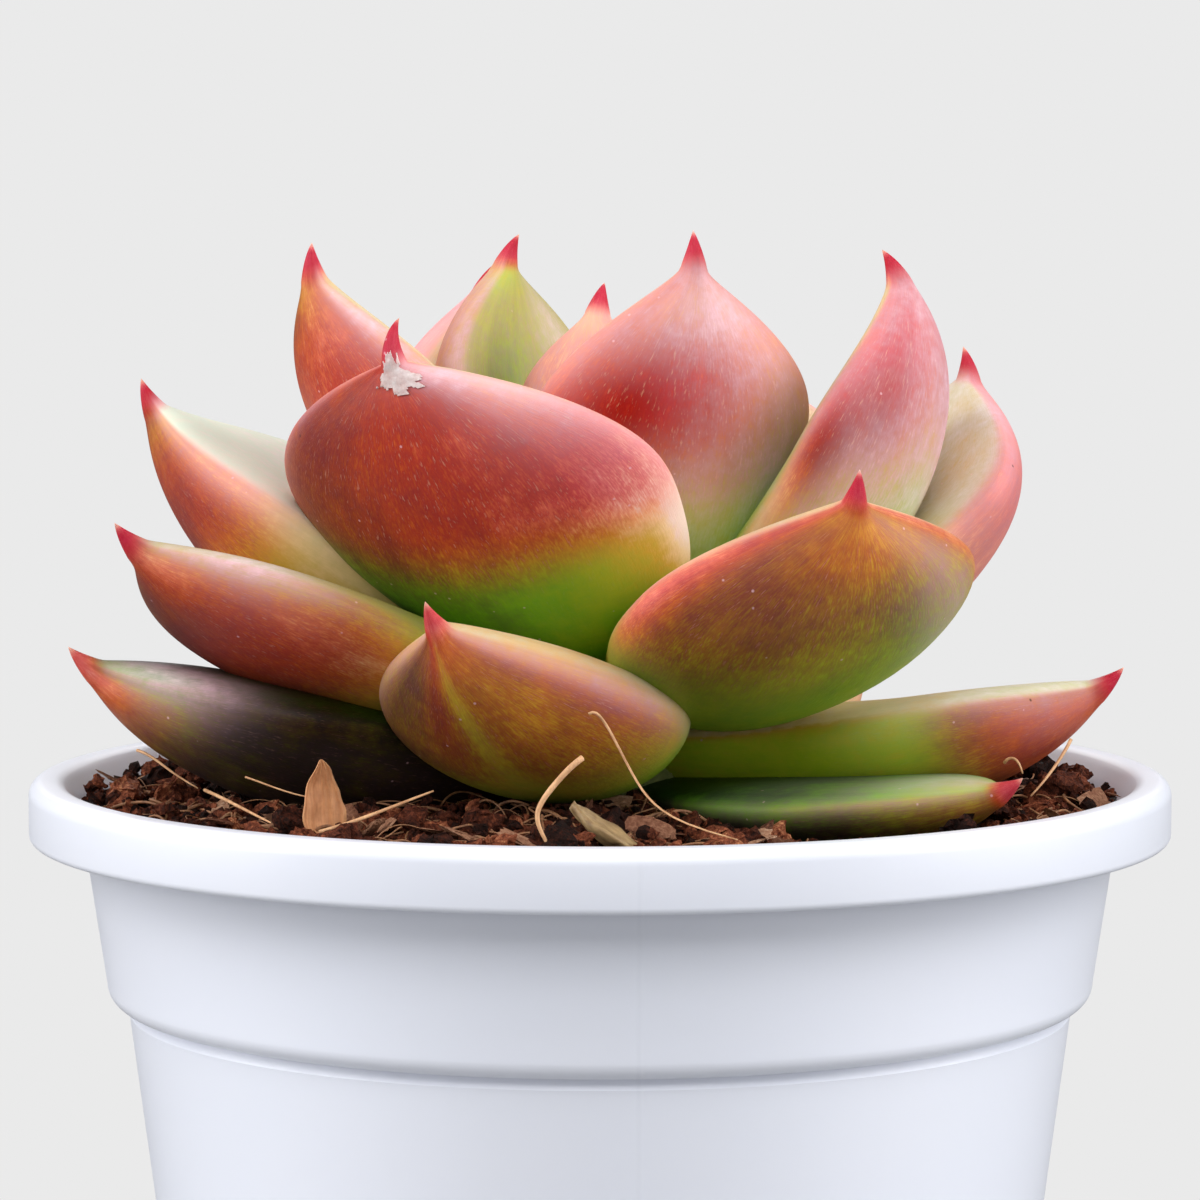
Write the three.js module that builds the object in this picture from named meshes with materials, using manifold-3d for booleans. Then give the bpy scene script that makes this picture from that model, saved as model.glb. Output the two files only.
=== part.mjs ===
// A potted echeveria: a thick-leaved rosette on a short stem, in potting mix, in a lipped nursery pot.
// Millimetres, +Z up, the viewer on the -Y side. The origin is the middle of the pot's foot, on the
// surface that the pot stands on.
import * as THREE from "three";
import { mergeVertices } from "three/addons/utils/BufferGeometryUtils.js";
import Module from "manifold-3d";

const wasm = await Module();
wasm.setup();

const degrees = Math.PI / 180;
const clearance = 0.3; // between solids that touch

// The pot
const pot = {
  height: 85,
  rimRadius: 50,
  rimInnerRadius: 46.5,
  rimRound: 1.3,
  lipHeight: 5.2,
  collarRadius: 45.2,
  collarHeight: 14.4,
  collarDraft: 0.15, // radius lost per millimetre of depth
  stepRound: 1.75,
  draft: 0.131,
  wall: 1.6,
  footRise: 2.6,
  footWidth: 2.6,
  sides: 48,
};
const drain = { centreRadius: 4.5, ringRadius: 19, holeRadius: 4, count: 5, sides: 12 };

// The potting mix
const soil = {
  wallDepth: 2.4, // below the rim, where the mix meets the wall
  mound: 1.4, // how much higher it lies round the stem
  hollow: { heading: 34, distance: 31, width: 13, depth: 1.9 }, // under the lowest leaf
  ripple: 0.35,
  rings: [8, 17, 26, 35],
  sides: 32,
  lumps: 40,
  lumpSmall: 1.7,
  lumpLarge: 3.4,
  lumpInner: 14,
  lumpOuter: 41,
  seed: 11,
};

// Dead leaves shed on the mix: heading and distance from the pot's axis, then the scrap's own size and lean
const scraps = [
  { name: "dry_leaf_left", heading: -38, distance: 37, length: 8, width: 3.6, lean: 76, spin: 20 },
  { name: "dry_leaf_front", heading: 1, distance: 37.5, length: 6.6, width: 4.6, lean: 34, spin: 84 },
];
const scrapThickness = 0.7;

// The stem and the rosette, which stands a little to the right of the pot's axis
const rosetteX = 2;
const stemProfile = [
  // radius, height
  [0, 62],
  [1.6, 62.6],
  [4.2, 72],
  [6.6, 80],
  [6.6, 90],
  [6.3, 96],
  [5.3, 100],
  [4.2, 102],
  [3.1, 104],
  [1.8, 105.6],
  [0, 106.2],
];
const stemSides = 16;

// Leaves are numbered by age, from 0 at the bottom, and each stands a golden angle round from the last.
const leafCount = 28;
const goldenAngle = 137.5;
const firstTurn = 60;
const matureCount = 17; // from here the leaves get smaller and stand closer to the axis

// A leaf's measures in millimetres and degrees. turn is its heading, anticlockwise seen from above, from 0
// towards the viewer through 90 on the right. lift is the slope at its base and curl how much steeper it
// ends, sway is how far its heading bends and roll how far the blade turns about its rib. widest is the
// place of its greatest width along its length, cup how far its margins rise, and hook how far the spine
// at its point bends inwards.
function leafByAge(age) {
  const young = Math.max(0, age - 11) / (leafCount - 11);
  const inner = Math.max(0, age - matureCount + 1);
  const length = 44 * (1 - 0.8 * young ** 1.6);
  return {
    turn: firstTurn - goldenAngle * age,
    height: 84.5 + 0.95 * Math.min(age, matureCount - 1) + 0.45 * inner,
    reach: 4.2 - 0.22 * inner,
    lift: age <= 20 ? -2 + 75 * (age / 20) ** 1.7 : 73 + 2 * (age - 20),
    curl: 30,
    sway: 0,
    roll: 0,
    length,
    width: length * (0.7 - 0.02 * inner),
    thickness: length * 0.25,
    widest: 0.58,
    taper: 1.1,
    cup: 0.1,
    hook: 25,
    point: age < 20 ? 3 : 2,
    pointRadius: age < 20 ? 1.1 : 0.8,
  };
}

// Each leaf that differs from the rule, by age
const leafDiffers = {
  0: {
    turn: 53, height: 83.5, lift: -2, curl: 17, sway: -3.5,
    length: 38.5, width: 23.5, thickness: 6.4, cup: 0.07,
  },
  1: { turn: 288, height: 86.5, lift: 3, curl: 23, sway: 3, length: 47.5, width: 26, cup: 0.12 },
  2: { turn: 160, length: 37, width: 28 },
  3: {
    turn: 341, height: 89.5, reach: 3.6, lift: 5, curl: 35, sway: -14, roll: 3,
    length: 39, width: 26, thickness: 11.5, cup: 0, widest: 0.46,
  },
  4: { length: 41 },
  5: { turn: 82, height: 88, lift: -4, roll: -8, length: 41, width: 28, thickness: 9.5 },
  6: {
    turn: 296, height: 91.5, reach: 5, lift: 13, curl: 18, sway: 7, roll: 9,
    length: 47, width: 28, thickness: 9.5, cup: 0,
  },
  7: { lift: 14, length: 41 },
  8: {
    turn: 36, height: 96, reach: 5.5, lift: 5, curl: 53, sway: -16, roll: 5,
    length: 38.5, width: 32.5, thickness: 12.5, cup: 0, taper: 1,
  },
  9: {
    turn: 261, height: 93.5, reach: 5.2, lift: 21, sway: 13, roll: -5,
    length: 46.5, width: 35, thickness: 12, cup: 0.22, widest: 0.6,
  },
  10: {
    turn: 112, height: 95, lift: 8, curl: 79, sway: 4, roll: -2,
    width: 37, thickness: 10.5, cup: 0.17, widest: 0.62, taper: 0.95,
  },
  11: {
    turn: 329, height: 96.5, reach: 3, lift: 26, curl: 36, sway: -9, roll: 10,
    length: 44.5, width: 36, cup: 0.14, widest: 0.56, taper: 0.75, hook: 75, point: 4,
  },
  12: {
    turn: 228, height: 95.7, lift: 45, curl: 61, sway: 2, roll: 4.5,
    length: 38, width: 29, thickness: 11,
  },
  13: { turn: 74, height: 97, lift: 27, curl: 77, sway: 5, roll: -4, width: 30, thickness: 9.5, cup: 0.14 },
  14: { turn: 292, height: 99, lift: 38, curl: 33, sway: 1, width: 28.5, thickness: 9.5, cup: 0.15 },
  15: {
    turn: 160, height: 99.5, lift: 41, curl: 26, sway: 4, roll: -7,
    length: 30, width: 30, thickness: 10,
  },
  16: {
    turn: 17, height: 98, reach: 3.5, lift: 55, curl: 25, sway: 5, roll: 2,
    length: 38.5, width: 25.5, thickness: 9, widest: 0.51,
  },
  17: { turn: 242, height: 100, lift: 60, curl: 41, sway: 3, roll: 2, length: 34, width: 27, thickness: 8.5 },
  18: { turn: 104, lift: 62, length: 24, width: 18 },
  19: { turn: 337, height: 100, lift: 72, curl: 36, roll: -4, length: 29, width: 15, thickness: 7 },
  20: { lift: 66, curl: 25, length: 22, width: 17 },
  21: { length: 20, width: 14 },
  22: { length: 18, width: 13 },
  23: { length: 16, width: 11 },
  24: { length: 14, width: 9.5 },
  25: { length: 12, width: 8 },
  26: { length: 10, width: 6.5 },
  27: { length: 8, width: 5 },
};
const baseWidth = 0.42; // of the leaf's width, where it leaves the stem
const baseThickness = 0.6;
const fullest = 0.42; // the place of its greatest thickness
const upperShare = 0.75; // the upper face bulges this much of half the thickness, and the lower the rest

// Solids and meshes

function solidOf(geometry) {
  const bare = geometry.clone();
  bare.deleteAttribute("normal");
  bare.deleteAttribute("uv");
  const merged = mergeVertices(bare, 1e-4);
  return new wasm.Manifold(
    new wasm.Mesh({
      numProp: 3,
      vertProperties: merged.attributes.position.array,
      triVerts: new Uint32Array(merged.index.array),
    }),
  );
}

// The largest body of a solid: a cut can leave loose scraps.
function mainBody(solid) {
  return solid.decompose().reduce((a, b) => (a.volume() > b.volume() ? a : b));
}

function meshOf(solid, name, material) {
  const { numProp, numVert, vertProperties, triVerts } = solid.getMesh();
  const corners = new Float32Array(numVert * 3);
  for (let i = 0; i < numVert; i++) {
    corners.set(vertProperties.subarray(i * numProp, i * numProp + 3), i * 3);
  }
  const geometry = new THREE.BufferGeometry();
  geometry.setAttribute("position", new THREE.BufferAttribute(corners, 3));
  geometry.setIndex(new THREE.BufferAttribute(new Uint32Array(triVerts), 1));
  geometry.computeVertexNormals();
  const mesh = new THREE.Mesh(geometry, material);
  mesh.name = name;
  return mesh;
}

// A solid turned about the +Z axis, from a closed outline of [radius, height] points in anticlockwise order
function turned(outline, sides, x = 0) {
  const points = outline.map(([radius, height]) => new THREE.Vector2(radius, height));
  const geometry = new THREE.LatheGeometry(points, sides);
  geometry.rotateX(Math.PI / 2);
  geometry.translate(x, 0, 0);
  return solidOf(geometry);
}

function arc(centreRadius, centreHeight, radius, from, to, steps) {
  return Array.from({ length: steps + 1 }, (_, i) => {
    const angle = (from + ((to - from) * i) / steps) * degrees;
    return [centreRadius + radius * Math.cos(angle), centreHeight + radius * Math.sin(angle)];
  });
}

function smoothRise(from, to, value) {
  return Math.min(1, Math.max(0, (value - from) / (to - from)));
}

// A repeatable draw between 0 and 1
function drawer(seed) {
  let state = seed;
  return () => {
    state = (state * 1103515245 + 12345) % 2147483648;
    return state / 2147483648;
  };
}

// The pot

const floorTop = pot.footRise + pot.wall;
const lipBottom = pot.height - pot.lipHeight;
const collarBottom = lipBottom - pot.collarHeight;
const collarFootRadius = pot.collarRadius - pot.collarDraft * (pot.collarHeight - pot.stepRound);
const bodyTopRadius = collarFootRadius - pot.stepRound;
const bodyFootRadius = bodyTopRadius - pot.draft * collarBottom;

const neckRadius = pot.collarRadius - pot.wall;
const mouthRadius = pot.rimInnerRadius + 0.08;
const mouthHeight = pot.height - 0.86;

function wallInside(height) {
  return bodyFootRadius - pot.wall + pot.draft * height;
}

// The pot's inner wall, from the floor up, as [radius, height]
function innerWall() {
  return [
    [wallInside(floorTop) - 1.5, floorTop],
    [wallInside(floorTop + 2), floorTop + 2],
    [wallInside(collarBottom), collarBottom + 1],
    [neckRadius, lipBottom - 1],
    [mouthRadius, mouthHeight],
  ];
}

function buildPot() {
  const outline = [
    [0, pot.footRise],
    [bodyFootRadius - pot.footWidth - 0.6, pot.footRise],
    [bodyFootRadius - pot.footWidth, 0],
    [bodyFootRadius - 0.4, 0],
    [bodyFootRadius, 0.5],
    [bodyTopRadius, collarBottom],
    ...arc(bodyTopRadius, collarBottom + pot.stepRound, pot.stepRound, -80, 0, 3),
    [pot.collarRadius, lipBottom],
    [pot.rimRadius - 0.6, lipBottom],
    [pot.rimRadius, lipBottom + 0.6],
    ...arc(pot.rimRadius - pot.rimRound, pot.height - pot.rimRound, pot.rimRound, 0, 90, 3),
    ...arc(pot.rimInnerRadius + pot.rimRound, pot.height - pot.rimRound, pot.rimRound, 90, 135, 1),
    ...innerWall().reverse(),
    [0, floorTop],
  ];
  let shell = turned(outline, pot.sides);
  const holes = Array.from({ length: drain.count }, (_, i) => ({
    radius: drain.holeRadius,
    distance: drain.ringRadius,
    heading: (360 / drain.count) * (i + 0.5),
  }));
  holes.push({ radius: drain.centreRadius, distance: 0, heading: 0 });
  for (const { radius, distance, heading } of holes) {
    const drill = new THREE.CylinderGeometry(radius, radius, 12, drain.sides);
    drill.rotateX(Math.PI / 2);
    const angle = heading * degrees;
    drill.translate(distance * Math.sin(angle), -distance * Math.cos(angle), floorTop);
    shell = shell.subtract(solidOf(drill));
  }
  return shell;
}

// The leaves

// The rib's places and directions along the leaf, in small steps
function leafRib(leaf, grow) {
  const steps = 120;
  const start = leaf.reach - grow;
  const full = leaf.length + 2 * grow;
  const spineFrom = 1 - leaf.point / leaf.length;
  const heading = (s) => (leaf.turn + leaf.sway * s ** 1.2) * degrees;
  const slope = (s) => {
    const bend = smoothRise(spineFrom - 0.03, 1, s) ** 1.5;
    return (leaf.lift + leaf.curl * s ** 1.3 + leaf.hook * bend) * degrees;
  };
  const along = (s) =>
    new THREE.Vector3(
      Math.cos(slope(s)) * Math.sin(heading(s)),
      -Math.cos(slope(s)) * Math.cos(heading(s)),
      Math.sin(slope(s)),
    );
  const place = new THREE.Vector3(
    rosetteX + start * Math.sin(leaf.turn * degrees),
    -start * Math.cos(leaf.turn * degrees),
    leaf.height,
  );
  const places = [place.clone()];
  for (let i = 1; i <= steps; i++) {
    place.addScaledVector(along((i - 0.5) / steps), full / steps);
    places.push(place.clone());
  }
  return { steps, spineFrom, heading, along, places };
}

// Half the width and half the thickness at s, from 0 at the stem to 1 at the point
function leafSection(leaf, spineFrom, s, grow) {
  const { widest, taper } = leaf;
  const spine = leaf.pointRadius * smoothRise(1, spineFrom, s) ** 0.9;
  const outwards = Math.sin((Math.PI / 2) * Math.min(1, s / widest)) ** 1.25;
  const breadth =
    s <= widest
      ? baseWidth + (1 - baseWidth) * outwards
      : (1 - smoothRise(widest, spineFrom, s) ** 2.2) ** taper;
  const depth =
    s <= fullest
      ? baseThickness + (1 - baseThickness) * Math.sin((Math.PI / 2) * (s / fullest))
      : (1 - smoothRise(fullest, spineFrom, s) ** 2.3) ** 0.7;
  return {
    halfWidth: Math.hypot((leaf.width / 2) * breadth, spine) + grow,
    halfDepth: Math.hypot((leaf.thickness / 2) * depth, spine) + grow,
  };
}

// A leaf is a ball drawn out along its rib: its poles are the leaf's base and its point.
function leafSolid(leaf, rows, sides, grow = 0) {
  const rib = leafRib(leaf, grow);
  const ball = new THREE.SphereGeometry(1, sides, rows + 1);
  const corners = ball.attributes.position;
  const corner = new THREE.Vector3();
  for (let i = 0; i < corners.count; i++) {
    corner.fromBufferAttribute(corners, i);
    const row = Math.round((Math.acos(Math.min(1, Math.max(-1, corner.y))) / Math.PI) * (rows + 1));
    const s = row === 0 ? 0 : 1 - (1 - (row - 1) / rows) ** 1.25;
    const around = Math.atan2(corner.z, corner.x);
    const onAxis = row === 0 || row === rows + 1;
    const { halfWidth, halfDepth } = leafSection(leaf, rib.spineFrom, s, grow);
    const spineShare = smoothRise(rib.spineFrom, 1, s);
    const share = Math.sin(around) > 0 ? upperShare : 2 - upperShare;
    const bulge = halfDepth * (share + (1 - share) * spineShare);
    const cup = leaf.cup * Math.sin(Math.PI * smoothRise(0, rib.spineFrom, s)) ** 0.6;
    const across = onAxis ? 0 : halfWidth * Math.cos(around);
    const keel = Math.sin(around) > 0 ? 1 : 1.15;
    const rise = Math.sign(Math.sin(around)) * Math.abs(Math.sin(around)) ** keel;
    const up = onAxis ? 0 : bulge * rise + cup * halfWidth * Math.cos(around) ** 2;

    const at = s * rib.steps;
    const below = Math.min(rib.steps - 1, Math.floor(at));
    const centre = rib.places[below].clone().lerp(rib.places[below + 1], at - below);
    const side = new THREE.Vector3(Math.cos(rib.heading(s)), Math.sin(rib.heading(s)), 0);
    const normal = rib.along(s).cross(side);
    const roll = leaf.roll * (0.3 + 0.7 * s) * degrees;
    const bladeSide = side.clone().multiplyScalar(Math.cos(roll)).addScaledVector(normal, Math.sin(roll));
    const bladeUp = normal.clone().multiplyScalar(Math.cos(roll)).addScaledVector(side, -Math.sin(roll));
    centre.addScaledVector(bladeSide, across).addScaledVector(bladeUp, up);
    corners.setXYZ(i, centre.x, centre.y, centre.z);
  }
  return solidOf(ball);
}

// The potting mix

const soilEdge = pot.height - soil.wallDepth;
const soilRadius =
  neckRadius +
  ((mouthRadius - neckRadius) * (soilEdge - lipBottom + 1)) / (mouthHeight - lipBottom + 1) -
  clearance * 1.2;

function soilHeight(x, y) {
  const distance = Math.hypot(x, y);
  const mound = soil.mound * (1 - (distance / soilRadius) ** 2);
  const ripple = Math.sin(x * 0.41 + 1.3) * Math.cos(y * 0.37 - 0.6) + 0.6 * Math.sin(x * 0.83 - y * 0.71);
  const { heading, distance: reach, width, depth } = soil.hollow;
  const away = Math.hypot(x - reach * Math.sin(heading * degrees), y + reach * Math.cos(heading * degrees));
  return soilEdge + mound + soil.ripple * ripple - depth * Math.exp(-((away / width) ** 2));
}

function soilLumps() {
  const draw = drawer(soil.seed);
  return Array.from({ length: soil.lumps }, (_, i) => {
    const heading = (i * goldenAngle + 12 * draw()) * degrees;
    const spread = Math.sqrt((i + draw()) / soil.lumps);
    const distance = soil.lumpInner + (soil.lumpOuter - soil.lumpInner) * spread;
    const size = soil.lumpSmall + (soil.lumpLarge - soil.lumpSmall) * draw() ** 1.5;
    const stretch = [0.8 + 0.6 * draw(), 0.7 + 0.4 * draw(), 0.5 + 0.35 * draw()];
    const turn = [draw() * 0.7, draw() * 0.7, draw() * Math.PI * 2];
    return { x: distance * Math.sin(heading), y: -distance * Math.cos(heading), size, stretch, turn };
  });
}

function buildSoil() {
  const walled = innerWall().map(([radius, height]) => [radius - clearance * 1.2, height]);
  walled[0][1] += clearance;
  const room = [[0, walled[0][1]], ...walled, [0, mouthHeight]];
  const outline = [
    [0, walled[0][1]],
    ...walled.slice(0, -1),
    [soilRadius, soilEdge],
    ...[...soil.rings].reverse().map((radius) => [radius, soilEdge]),
    [0, soilEdge],
  ];
  const points = outline.map(([radius, height]) => new THREE.Vector2(radius, height));
  const body = new THREE.LatheGeometry(points, soil.sides);
  body.rotateX(Math.PI / 2);
  const corners = body.attributes.position;
  for (let i = 0; i < corners.count; i++) {
    if (corners.getZ(i) > soilEdge - 0.01) {
      corners.setZ(i, soilHeight(corners.getX(i), corners.getY(i)));
    }
  }
  let mix = solidOf(body);
  for (const lump of soilLumps()) {
    const clod = new THREE.IcosahedronGeometry(lump.size, 0);
    clod.scale(...lump.stretch);
    clod.rotateX(lump.turn[0]);
    clod.rotateY(lump.turn[1]);
    clod.rotateZ(lump.turn[2]);
    clod.translate(lump.x, lump.y, soilHeight(lump.x, lump.y) + 0.2 * lump.size);
    mix = mix.add(solidOf(clod));
  }
  return mix.intersect(turned(room, soil.sides));
}

function scrapSolid(scrap, grow = 0) {
  const { length, width } = scrap;
  const outline = new THREE.Shape();
  outline.moveTo(0, -length * 0.42 - grow);
  outline.quadraticCurveTo(width * 0.62 + grow, -length * 0.3, width * 0.42 + grow, length * 0.1);
  outline.quadraticCurveTo(width * 0.1 + grow, length * 0.3, 0, length * 0.58 + grow);
  outline.quadraticCurveTo(-width * 0.2 - grow, length * 0.25, -width * 0.5 - grow, length * 0.02);
  outline.quadraticCurveTo(-width * 0.55 - grow, -length * 0.35, 0, -length * 0.42 - grow);
  const thickness = scrapThickness + 2 * grow;
  const sheet = { depth: thickness, bevelEnabled: false, curveSegments: 4 };
  const blade = new THREE.ExtrudeGeometry(outline, sheet);
  blade.translate(0, 0, -thickness / 2);
  blade.rotateX(scrap.lean * degrees);
  blade.rotateZ(scrap.spin * degrees);
  const x = scrap.distance * Math.sin(scrap.heading * degrees);
  const y = -scrap.distance * Math.cos(scrap.heading * degrees);
  const sunk = 0.42 * length * Math.sin(scrap.lean * degrees);
  blade.translate(x, y, soilHeight(x, y) + sunk * 0.55);
  return solidOf(blade);
}

// Put together: what stands over its neighbour keeps its shape, and the neighbour is cut clear of it.

const leaves = Array.from({ length: leafCount }, (_, age) => ({ ...leafByAge(age), ...leafDiffers[age] }));

function leafDetail(age) {
  return age <= matureCount ? [9, 12] : [5, 8];
}

const widerStem = turned(
  stemProfile.map(([radius, height], i) => {
    const end = i === 0 ? -clearance : i === stemProfile.length - 1 ? clearance : 0;
    return [end ? 0 : radius + clearance, height + end];
  }),
  stemSides,
  rosetteX,
);
const widerLeaves = leaves.map((leaf, age) => leafSolid(leaf, ...leafDetail(age), clearance));

const materials = {
  pot: new THREE.MeshStandardMaterial({ color: 0xe9ecf6, roughness: 0.32, metalness: 0 }),
  soil: new THREE.MeshStandardMaterial({ color: 0x4a2a20, roughness: 0.95, metalness: 0 }),
  stem: new THREE.MeshStandardMaterial({ color: 0x8a9a4a, roughness: 0.7, metalness: 0 }),
  outerLeaf: new THREE.MeshStandardMaterial({ color: 0xa8603c, roughness: 0.5, metalness: 0 }),
  middleLeaf: new THREE.MeshStandardMaterial({ color: 0xb85a4e, roughness: 0.5, metalness: 0 }),
  innerLeaf: new THREE.MeshStandardMaterial({ color: 0xc08a74, roughness: 0.5, metalness: 0 }),
  dryLeaf: new THREE.MeshStandardMaterial({ color: 0xb98455, roughness: 0.85, metalness: 0 }),
};

const plant = new THREE.Group();
plant.add(meshOf(buildPot(), "pot", materials.pot));

let mix = buildSoil().subtract(widerStem);
for (const wider of widerLeaves.slice(0, 8)) {
  mix = mix.subtract(wider);
}
for (const scrap of scraps) {
  mix = mix.subtract(scrapSolid(scrap, clearance));
  plant.add(meshOf(scrapSolid(scrap), scrap.name, materials.dryLeaf));
}
plant.add(meshOf(mainBody(mix), "potting_mix", materials.soil));
plant.add(meshOf(turned(stemProfile, stemSides, rosetteX), "stem", materials.stem));

function leafMaterial(age) {
  if (age < 8) {
    return materials.outerLeaf;
  }
  return age < matureCount ? materials.middleLeaf : materials.innerLeaf;
}

leaves.forEach((leaf, age) => {
  let blade = leafSolid(leaf, ...leafDetail(age)).subtract(widerStem);
  for (const younger of widerLeaves.slice(age + 1)) {
    blade = blade.subtract(younger);
  }
  const name = `leaf_${String(age + 1).padStart(2, "0")}`;
  plant.add(meshOf(mainBody(blade), name, leafMaterial(age)));
});

export default plant;
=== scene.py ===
"""Looks of a potted echeveria: flushed waxy leaves, coarse bark mix and a white nursery pot.

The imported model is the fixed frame, in metres, with +Z up and the viewer on the -Y side. The classes
below hold their sizes in millimetres and degrees, and MM turns millimetres into the frame's units.
A heading is anticlockwise seen from above, from 0 towards the viewer through 90 on the right.
"""

from __future__ import annotations

import logging
import math
import random
from collections.abc import Callable, Iterable, Sequence
from dataclasses import dataclass, field
from enum import Enum

import bmesh
import bpy
import numpy as np
from mathutils import Euler, Matrix, Vector, noise

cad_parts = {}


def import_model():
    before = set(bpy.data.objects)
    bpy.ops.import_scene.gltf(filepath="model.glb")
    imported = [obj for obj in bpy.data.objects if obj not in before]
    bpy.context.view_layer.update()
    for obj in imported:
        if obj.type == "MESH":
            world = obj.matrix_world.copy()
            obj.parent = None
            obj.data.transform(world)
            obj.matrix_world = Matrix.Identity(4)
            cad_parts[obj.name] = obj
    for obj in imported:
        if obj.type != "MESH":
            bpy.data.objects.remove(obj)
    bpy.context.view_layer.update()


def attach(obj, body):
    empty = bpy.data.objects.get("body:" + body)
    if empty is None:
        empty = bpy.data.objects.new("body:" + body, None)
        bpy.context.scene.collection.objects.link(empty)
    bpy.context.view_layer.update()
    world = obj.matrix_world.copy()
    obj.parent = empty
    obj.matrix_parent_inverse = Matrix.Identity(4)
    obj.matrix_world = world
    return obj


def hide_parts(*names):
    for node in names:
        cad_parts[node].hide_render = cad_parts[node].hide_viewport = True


MM = 0.001
GOLDEN_ANGLE = 137.5
ROOT = "root"
ROSETTE_X = 2.0

Pair = tuple[float, float]
Triple = tuple[float, float, float]
Stops = Sequence[tuple[float, Triple]]
Route = tuple[Sequence[Triple], float]
Material, Mesh, Object = bpy.types.Material, bpy.types.Mesh, bpy.types.Object
BMesh = bmesh.types.BMesh

log = logging.getLogger("potted_echeveria")


def rise(low: float, high: float, value: np.ndarray) -> np.ndarray:
    """Share of the way from low to high, held between 0 and 1."""
    return np.clip((value - low) / (high - low), 0.0, 1.0)


def smooth(low: float, high: float, value: np.ndarray) -> np.ndarray:
    """The same share, eased at both ends."""
    t = rise(low, high, value)
    return t * t * (3.0 - 2.0 * t)


def between(low: float, high: float, share: float) -> float:
    """The value at a share of the way from low to high, for numbers or arrays."""
    return low + (high - low) * share


def heading_point(heading: float, distance: float) -> Pair:
    """The x and y of a place at a heading in degrees and a distance from the pot's axis."""
    angle = math.radians(heading)
    return distance * math.sin(angle), -distance * math.cos(angle)


class Wire:
    """An output socket of a shader node, with arithmetic that adds Math nodes."""

    def __init__(self, shader: Shader, socket: bpy.types.NodeSocket) -> None:
        """Keeps the socket and the tree that it belongs to.

        Args:
            shader: the tree that new nodes are added to.
            socket: the output socket that this wire starts from.
        """
        self.shader = shader
        self.socket = socket

    def _math(self, operation: str, first: Wire | float, second: Wire | float) -> Wire:
        """A Math node on two values."""
        return self.shader.node("ShaderNodeMath", {"operation": operation}, {0: first, 1: second})

    def __add__(self, other: Wire | float) -> Wire:
        """Sum."""
        return self._math("ADD", self, other)

    def __radd__(self, other: float) -> Wire:
        """Sum, with the number first."""
        return self._math("ADD", other, self)

    def __sub__(self, other: Wire | float) -> Wire:
        """Difference."""
        return self._math("SUBTRACT", self, other)

    def __rsub__(self, other: float) -> Wire:
        """Difference, with the number first."""
        return self._math("SUBTRACT", other, self)

    def __mul__(self, other: Wire | float) -> Wire:
        """Product."""
        return self._math("MULTIPLY", self, other)

    def __rmul__(self, other: float) -> Wire:
        """Product, with the number first."""
        return self._math("MULTIPLY", other, self)

    def __pow__(self, other: float) -> Wire:
        """Power."""
        return self._math("POWER", self, other)

    def __abs__(self) -> Wire:
        """Size without its sign."""
        return self._math("ABSOLUTE", self, 0.0)

    def clamped(self) -> Wire:
        """The value, held between 0 and 1."""
        return self.shader.node("ShaderNodeClamp", {}, {"Value": self})

    def stepped(self, low: float, high: float) -> Wire:
        """An eased step from 0 at low to 1 at high. low may be the greater."""
        ends = {"Value": self, "From Min": low, "From Max": high}
        return self.shader.node("ShaderNodeMapRange", {"interpolation_type": "SMOOTHSTEP"}, ends)


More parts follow.
